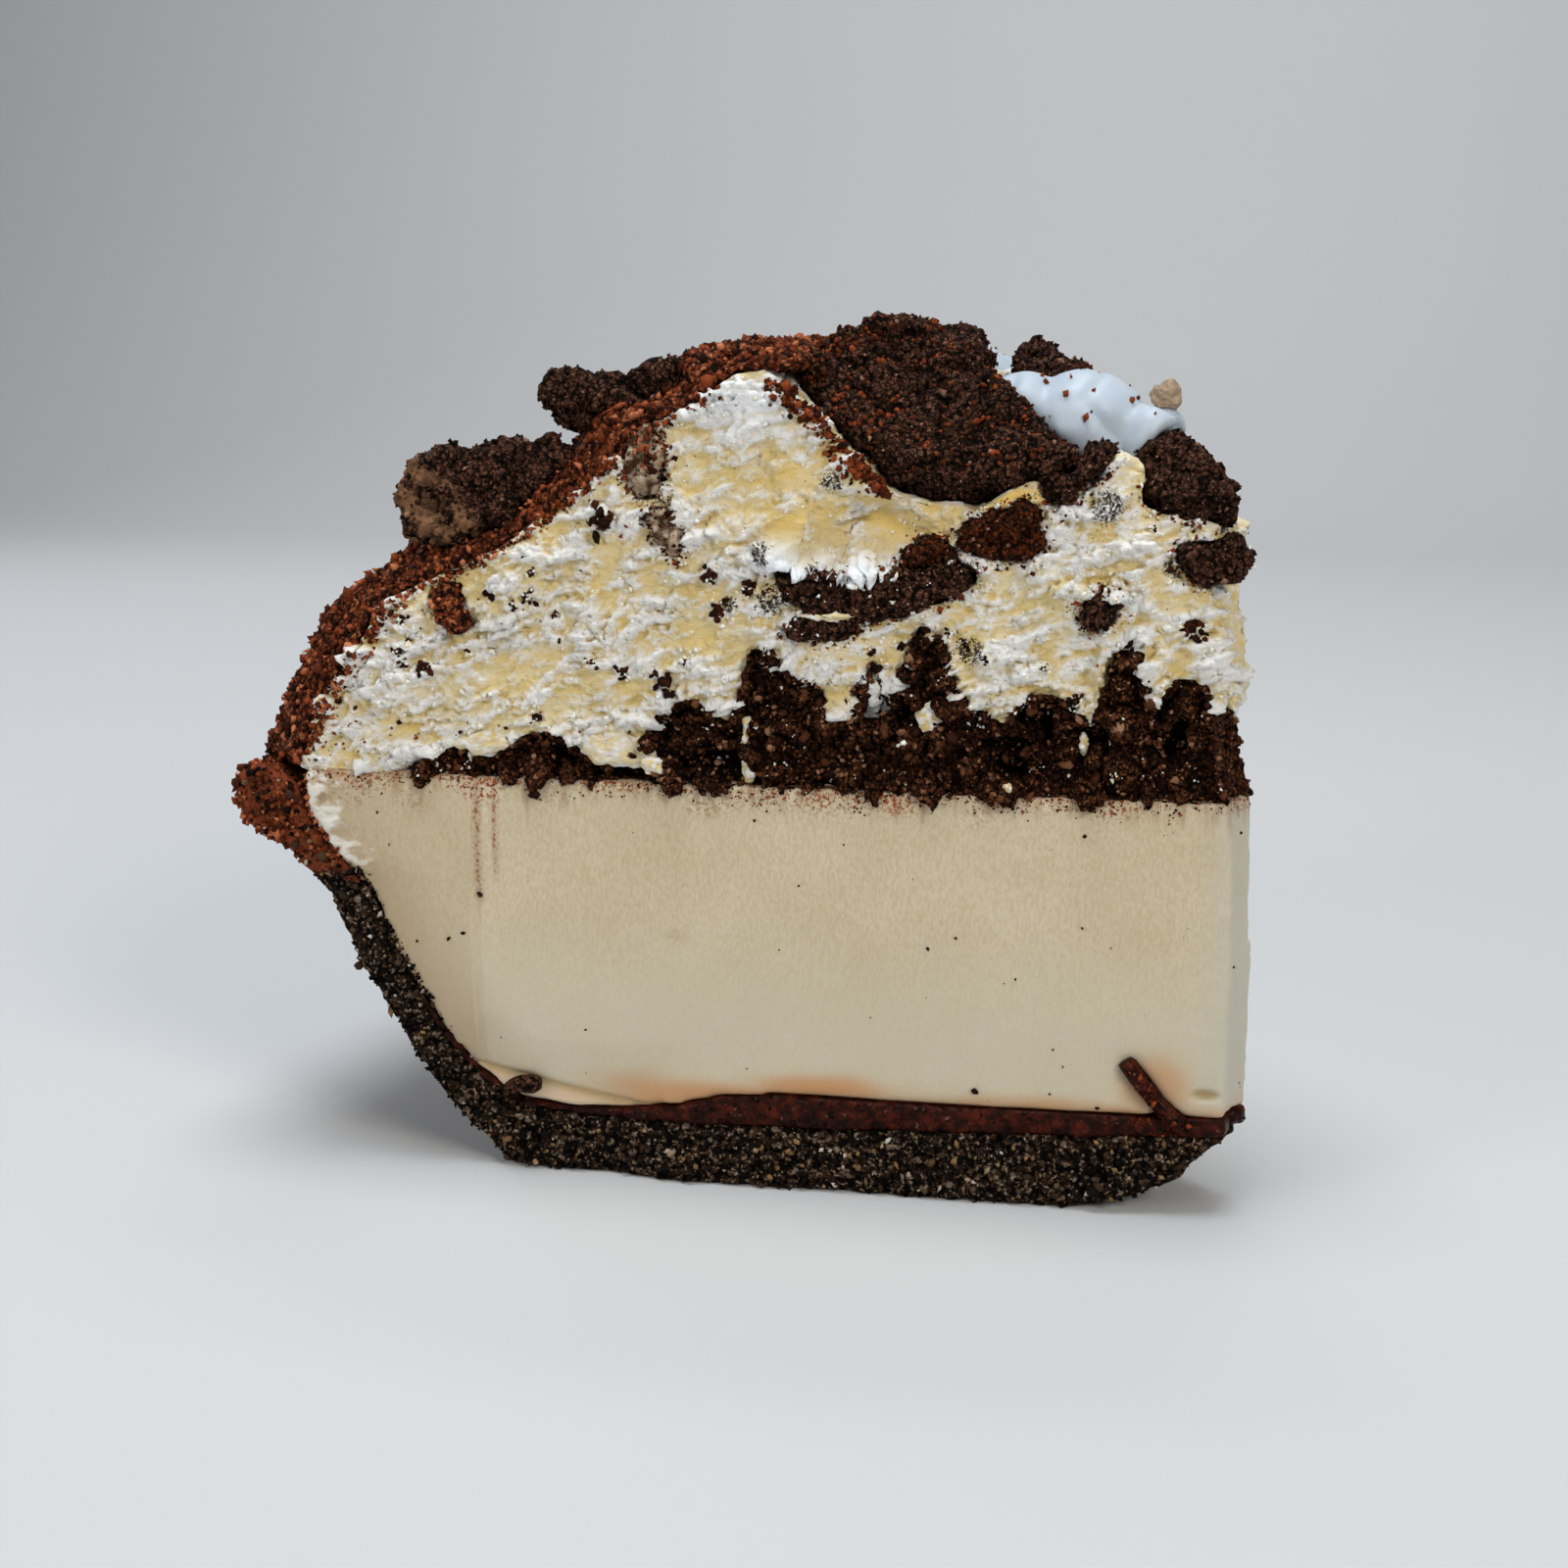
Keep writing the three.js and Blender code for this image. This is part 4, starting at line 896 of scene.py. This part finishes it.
cluster = fine_mesh("crumb_cluster", COOKIE_GRID, 1)
raise_by(cluster, lambda p, n: 0.4 + crumbly(p, 1.3, 0.4, 91))
keep("crumb_cluster", cluster, COAT)

# -------------------- loose crumbs and flakes

OCTAHEDRON = (
    np.array([(1, 0, 0), (-1, 0, 0), (0, 1, 0), (0, -1, 0), (0, 0, 1), (0, 0, -1)], float),
    np.array([(0, 2, 4), (2, 1, 4), (1, 3, 4), (3, 0, 4), (2, 0, 5), (1, 2, 5), (3, 1, 5), (0, 3, 5)]),
)


def ball(subdivisions):
    """Corners and faces of a round ball of radius 1."""
    bm = bmesh.new()
    bmesh.ops.create_icosphere(bm, subdivisions=subdivisions, radius=1.0)
    corners = np.array([v.co for v in bm.verts], float)
    faces = np.array([[v.index for v in f.verts] for f in bm.faces])
    bm.free()
    return corners, faces


ROCK = ball(1)


def random_turns(rng, count):
    """Evenly random rotation matrices."""
    q = rng.normal(size=(count, 4))
    w, x, y, z = (q / np.linalg.norm(q, axis=1)[:, None]).T
    rows = [1 - 2 * (y * y + z * z), 2 * (x * y - z * w), 2 * (x * z + y * w),
            2 * (x * y + z * w), 1 - 2 * (x * x + z * z), 2 * (y * z - x * w),
            2 * (x * z - y * w), 2 * (y * z + x * w), 1 - 2 * (x * x + y * y)]
    return np.stack(rows, axis=1).reshape(-1, 3, 3)


def samples(piece, count, rng, wanted):
    """Places spread over a piece where wanted(points, normals) is high, with their normals."""
    mesh = piece.data
    mesh.calc_loop_triangles()
    corners = np.zeros(len(mesh.loop_triangles) * 3, np.int32)
    mesh.loop_triangles.foreach_get("vertices", corners)
    points, _ = read_mesh(mesh)
    a, b, c = (points[corners.reshape(-1, 3)[:, i]] for i in range(3))
    cross = np.cross(b - a, c - a)
    area = np.linalg.norm(cross, axis=1)
    normals = cross / np.maximum(area, 1e-12)[:, None]
    weight = area * np.clip(wanted((a + b + c) / 3, normals), 0, None)
    picked = rng.choice(len(area), size=count, p=weight / weight.sum())
    s, t = rng.random((2, count))
    over = s + t > 1
    s[over], t[over] = 1 - s[over], 1 - t[over]
    s, t = s[:, None], t[:, None]
    return a[picked] * (1 - s - t) + b[picked] * s + c[picked] * t, normals[picked]


def bits(places, normals, sizes, rng, shape, flat=0.75, sink=0.1, tones=None):
    """Rough bits of rock-like form as arrays: corners, faces and each corner's tone."""
    corners, faces = shape
    count = len(places)
    form = corners[None] * rng.uniform(0.62, 1.25, (count, len(corners), 1))
    form = form * (rng.uniform([0.75, 0.7, flat * 0.6], [1.3, 1.1, flat], (count, 3)))[:, None, :]
    form = np.einsum("nij,nkj->nki", random_turns(rng, count), form) * (sizes / 2)[:, None, None]
    form += (places + normals * (sizes * (0.25 - sink))[:, None])[:, None, :]
    tones = rng.random(count) if tones is None else tones
    order = faces[None] + (np.arange(count) * len(corners))[:, None, None]
    return form.reshape(-1, 3), order.reshape(-1, 3), np.repeat(tones, len(corners))


def scatter(name, groups, look):
    """One piece of many loose bits, joined from arrays."""
    corners, orders, tones = zip(*groups)
    starts = np.cumsum([0] + [len(c) for c in corners])
    points = np.concatenate(corners)
    points[:, 2] = np.maximum(points[:, 2], TABLE_TOP)
    mesh = mesh_from(points, np.concatenate([order + start for order, start in zip(orders, starts)]))
    shade_smooth(mesh)
    paint(mesh, "tone", np.concatenate(tones))
    return add_piece(name, mesh, look)


def spread(piece, count, small, large, seed, wanted, shape=OCTAHEDRON, **options):
    """Bits over a piece, most of them near the small size."""
    rng = np.random.default_rng(seed)
    places, normals = samples(fine[piece], count, rng, wanted)
    sizes = small + (large - small) * rng.random(count) ** 2.2
    return bits(places, normals, sizes, rng, shape, **options)


def outside(points, normals):
    """The outer side of the coat or crust: where it faces away from the pie's axis, or up."""
    out = normals[:, 0] * points[:, 0] + normals[:, 1] * points[:, 1]
    return ease(out / np.maximum(1, np.hypot(points[:, 0], points[:, 1])) + 0.6 * normals[:, 2], 0.0, 0.5)


def put_on_front(tree, marks):
    """Where a straight look along +Y at each radius and height meets the slice."""
    found = []
    for radius, height, size in marks:
        hit, normal, _, _ = tree.ray_cast(Vector((-radius, -30, height)), Vector((0, 1, 0)))
        if hit is not None:
            found.append((*hit, *normal, size))
    found = np.array(found)
    return found[:, :3], found[:, 3:6], found[:, 6]


def by_wall(bare, full):
    """Chooses the ice cream's cut edge along the crust, from a bare height to one full of bits."""
    def wanted(points, normals):
        to_wall = wall_radius(points[:, 2]) - slice_radius(points)
        return cut_faces(points, normals) * ease(to_wall, 1.4, 0.2) * ease(points[:, 2], bare, full)
    return wanted


scatter("coat_crumbs", [
    spread("crumb_coat", 8000, 0.45, 1.4, 201, lambda p, n: outside(p, n) + 0.5 * cut_faces(p, n)),
    spread("crumb_coat", 460, 1.1, 1.9, 202, outside, ROCK),
    spread("crust", 4200, 0.4, 1.3, 203, lambda p, n: (0.2 + outside(p, n) + cut_faces(p, n))
           * ease(p[:, 2] + 2 * noise(p, 4, 205), LIP_FOOT, LIP_FULL)),
    spread("ice_cream", 300, 0.3, 1.1, 200, by_wall(36, 39)),
    spread("crust", 160, 1.2, 2.2, 206, lambda p, n: ease(p[:, 2], 37, 41), ROCK),
    spread("crumb_cluster", 120, 0.5, 1.2, 204, cut_faces),
    spread("lump_high", 150, 0.5, 1.5, 208,
           lambda p, n: ease(p[:, 2] + 2 * noise(p, 3, 209), 79.6, 81.4)),
    spread("lump_low", 50, 0.3, 0.9, 210, cut_faces),
    spread("cream", 900, 0.35, 1.2, 207,
           lambda p, n: on_front(p, n) * bell(from_line(p, COAT_EDGE), 0, 1.0)),
], COAT_CRUMB)

dull = 0.8 * np.random.default_rng(216).random(240)
sides = lambda p, n: cut_faces(p, n) + 0.25 * outside(p, n)
scatter("crust_crumbs", [
    spread("ice_cream", 420, 0.3, 1.0, 214, by_wall(38, 34)),
    spread("fudge", 240, 0.35, 1.0, 215, cut_faces, sink=0.2, tones=dull),
    spread("crust", 6600, 0.35, 1.1, 211, sides),
    spread("crust", 600, 0.9, 1.7, 212, sides, ROCK),
], CRUST_CRUMB)

clumped = lambda p, n: cut_faces(p, n) * ease(layered_noise(p, (3, 3, 2.4), 223, 2), -0.5, 0.3)
scatter("layer_crumbs", [
    spread("cookie_layer", 8200, 0.3, 1.0, 221, clumped, sink=0.15),
    spread("cookie_layer", 260, 1.0, 1.9, 222, clumped, ROCK, flat=0.9, sink=0.2),
], LAYER_CRUMB)


def make_cream_flakes():
    snowy = lambda p, n: np.maximum(cut_faces(p, n), 0.4 * facing(n, (1, 0, 0))) \
        * ease(cream_relief(p)[1] + 0.3 * noise(p, 1.2, 231), 0.35, 0.8)
    sugared = lambda p, n: on_front(p, n) * ease(layered_noise(p, 1.6, 235), 0.25, 0.6)
    beside = lambda p, n: on_front(p, n) * (1 - room_beside(p, COOKIES, 0.2, 1.6))
    rng = np.random.default_rng(238)
    places, normals, sizes = put_on_front(tree_of([fine["cream"].data]), CREAM_SPECKS * 5)
    places = places + rng.normal(size=places.shape) * (sizes * 0.3)[:, None] * (1, 0, 1)
    scatter("cream_flakes", [
        spread("cream", 3600, 0.25, 0.85, 232, snowy, sink=0.15),
        spread("cream", 700, 0.25, 0.9, 237, beside, sink=0.15),
        spread("slab_front", 70, 0.25, 0.7, 234,
               lambda p, n: sugared(p, n) + 3 * facing(n, (0, -0.7, 0.7)), sink=0.15),
        spread("cookie_layer", 160, 0.25, 0.8, 236, sugared, sink=0.15),
        bits(places, normals, rng.uniform(0.3, 0.7, len(places)), rng, OCTAHEDRON, sink=-0.3),
    ], FLAKE)


def clustered_marks(rng, marks):
    """Each mark as a handful of smaller ones that touch."""
    parts = []
    for radius, height, size in marks:
        count = round(4 + 4 * size)
        away = rng.normal(size=(count, 2)) * 0.2 * size
        widths = size * rng.uniform(0.25, 0.55, count)
        parts += [(radius + a, height + b, w) for (a, b), w in zip(away.tolist(), widths.tolist())]
    return parts


def make_stray_crumbs():
    tree = tree_of([fine["ice_cream"].data, fine["cream"].data])
    rng = np.random.default_rng(241)
    marks = ICE_SPECKS + clustered_marks(rng, CREAM_SPECKS)
    places, normals, sizes = put_on_front(tree, marks)
    strays = lambda p, n: cut_faces(p, n) * ease(p[:, 2], 58, 66)
    broken = lambda p, n: on_front(p, n) * (1 - room_beside(p, COOKIES, 0.3, 1.8))
    falling = lambda p, n: cut_faces(p, n) * ease(p[:, 2] + 1.5 * noise(p, 3, 249), 43.6, 47.2) ** 2
    patchy = lambda p: 0.15 + ease(noise(p, 4, 9) - 0.02 * (p[:, 0] + 44), 0.0, 0.5)
    scatter("stray_crumbs", [
        bits(places, normals, sizes, rng, ROCK, sink=0.15, tones=0.3 * rng.random(len(places)) ** 2),
        spread("cream", 90, 0.3, 0.9, 242, strays, sink=0.2),
        spread("cream", 1400, 0.25, 0.9, 250, broken, sink=0.2),
        spread("cream", 90, 0.3, 0.9, 243, lambda p, n: cut_faces(p, n) * ease(p[:, 2], 56, 50)),
        spread("cream", 620, 0.35, 1.2, 251,
               lambda p, n: on_front(p, n) * bell(from_line(p, SPILL), 0, 1.2), ROCK),
        spread("ice_cream", 2200, 0.15, 0.6, 244, falling, sink=0.3),
        spread("ice_cream", 60, 0.2, 0.45, 252, cut_faces, sink=0.35),
        spread("cookie_large", 1100, 0.3, 1.0, 245, lambda p, n: patchy(p) * facing(n, UP, -0.2), ROCK),
        spread("crumb_coat", 700, 0.4, 1.2, 246, lambda p, n: cut_faces(p, n) + facing(n, UP, 0.6)),
        spread("dollop_front", 20, 0.4, 1.3, 247, lambda p, n: facing(n, (0.2, -0.5, 0.8), 0.3)),
        spread("dollop_back", 30, 0.35, 1.3, 248, lambda p, n: facing(n, UP, 0.3)),
        spread("fudge", 60, 0.4, 1.2, 253, lambda p, n: on_front(p, n) * patch(p, 14.6, 13.6, 3.6, 4)),
    ], STRAY_CRUMB)


def make_cookie_crumbs():
    """Broken grain standing up from each cookie, more on a bigger one."""
    groups = []
    for number, name in enumerate(COOKIES):
        count = 60 + len(fine[name].data.polygons) // 9
        groups.append(spread(name, count, 0.35, 1.0, 300 + number, lambda p, n: np.ones(len(p)), sink=0.1))
    scatter("cookie_crumbs", groups, COOKIE_CRUMB)


def make_cream_bits():
    """Small lumps of cream that hang in the crushed cookies."""
    corners, faces = ball(4)
    tree = tree_of([fine[name].data for name in ("cookie_layer", "cream", "ice_cream", "slab_front")])
    for number, (radius, height, width, tallness) in enumerate(CREAM_BITS):
        place, _, _ = put_on_front(tree, [(radius, height, width)])
        form = corners * (width / 2, 0.9, tallness / 2)
        form += corners * (0.7 * layered_noise(form + 9 * number, 1.6, 261, 4))[:, None]
        mesh = mesh_from(form + place[0], faces)
        shade_smooth(mesh)
        paint(mesh, "crest", 0.4 + 0.5 * layered_noise(form, 0.9, 262))
        add_piece(f"cream_bit_{number + 1}", mesh, CREAM)


NUT_PLACE = np.array([-16.2, 8.4, 89.2])
NUT_SIZE = 1.7


def make_nut():
    """The chopped nut that stands on the cream beside the blob."""
    rng = np.random.default_rng(251)
    corners, faces = ball(4)
    size = NUT_SIZE + 0.5 * layered_noise(corners, 1.1, 252, 3) + 0.2 * crumbly(corners, 0.5, 0.4, 253)
    mesh = mesh_from(corners * size[:, None] + NUT_PLACE, faces)
    paint(mesh, "tone", rng.random(len(corners)))
    add_piece("nut", mesh, NUT)


make_cream_flakes()
make_cream_bits()
make_stray_crumbs()
make_cookie_crumbs()
make_nut()

# -------------------- studio

def make_floor():
    """A floor that sweeps up into a wall behind the slice."""
    turn = np.linspace(0, math.pi / 2, 24)
    ends = [(-2.0, 0.0)] + [(0.7 + 0.5 * math.sin(t), 0.5 - 0.5 * math.cos(t)) for t in turn] + [(1.2, 1.8)]
    corners = [(x, y, z) for y, z in ends for x in (-2.0, 2.0)]
    faces = [(2 * i, 2 * i + 1, 2 * i + 3, 2 * i + 2) for i in range(len(ends) - 1)]
    mesh = bpy.data.meshes.new("floor")
    mesh.from_pydata(corners, [], faces)
    shade_smooth(mesh)
    look = Look("floor", Roughness=0.8)
    pale = look.ramp(look.noise(400, 2), [(0.0, (197, 198, 198)), (1.0, (201, 202, 202))])
    mesh.materials.append(look.finish(pale))
    floor = new_object("floor", mesh)


def add_light(name, place, aim, size, power, colour):
    light = bpy.data.lights.new(name, "AREA")
    light.shape = "DISK"
    light.size = size
    light.energy = power
    light.color = colour
    lamp = new_object(name, light)
    lamp.location = place
    lamp.rotation_euler = (Vector(aim) - Vector(place)).to_track_quat("-Z", "Y").to_euler()


def make_studio():
    make_floor()
    world = bpy.data.worlds.new("studio")
    bpy.context.scene.world = world
    world.use_nodes = True
    glow = world.node_tree.nodes["Background"].inputs
    glow["Color"].default_value = (0.80, 0.87, 1.0, 1)
    glow["Strength"].default_value = 0.15
    middle = (0, 0, 0.05)
    add_light("sky", (-0.02, -0.1, 0.75), middle, 0.4, 4.0, (0.88, 0.94, 1.0))
    add_light("window", (0.5, -0.55, 0.45), middle, 0.3, 3.15, (1.0, 0.95, 0.88))
    add_light("fill", (-0.55, -0.6, 0.3), middle, 0.4, 2.1, (1.0, 0.96, 0.91))
    add_light("rim", (-0.6, 0.45, 0.4), middle, 0.4, 0.9, (0.88, 0.94, 1.0))
    add_light("wall", (0, 0.5, 1.0), (0, 1.2, 0.35), 0.6, 5.0, (1.0, 1.0, 1.0))
    bpy.context.scene.view_settings.view_transform = "Standard"


def make_camera():
    data = bpy.data.cameras.new("camera")
    data.lens = CAMERA_LENS
    data.sensor_width = 36
    data.clip_start = 0.01
    camera = new_object("camera", data)
    camera.location = [c * MM for c in CAMERA_PLACE]
    camera.rotation_euler = (math.radians(90 - CAMERA_PITCH), 0, math.radians(CAMERA_YAW))
    bpy.context.scene.camera = camera


make_studio()
make_camera()
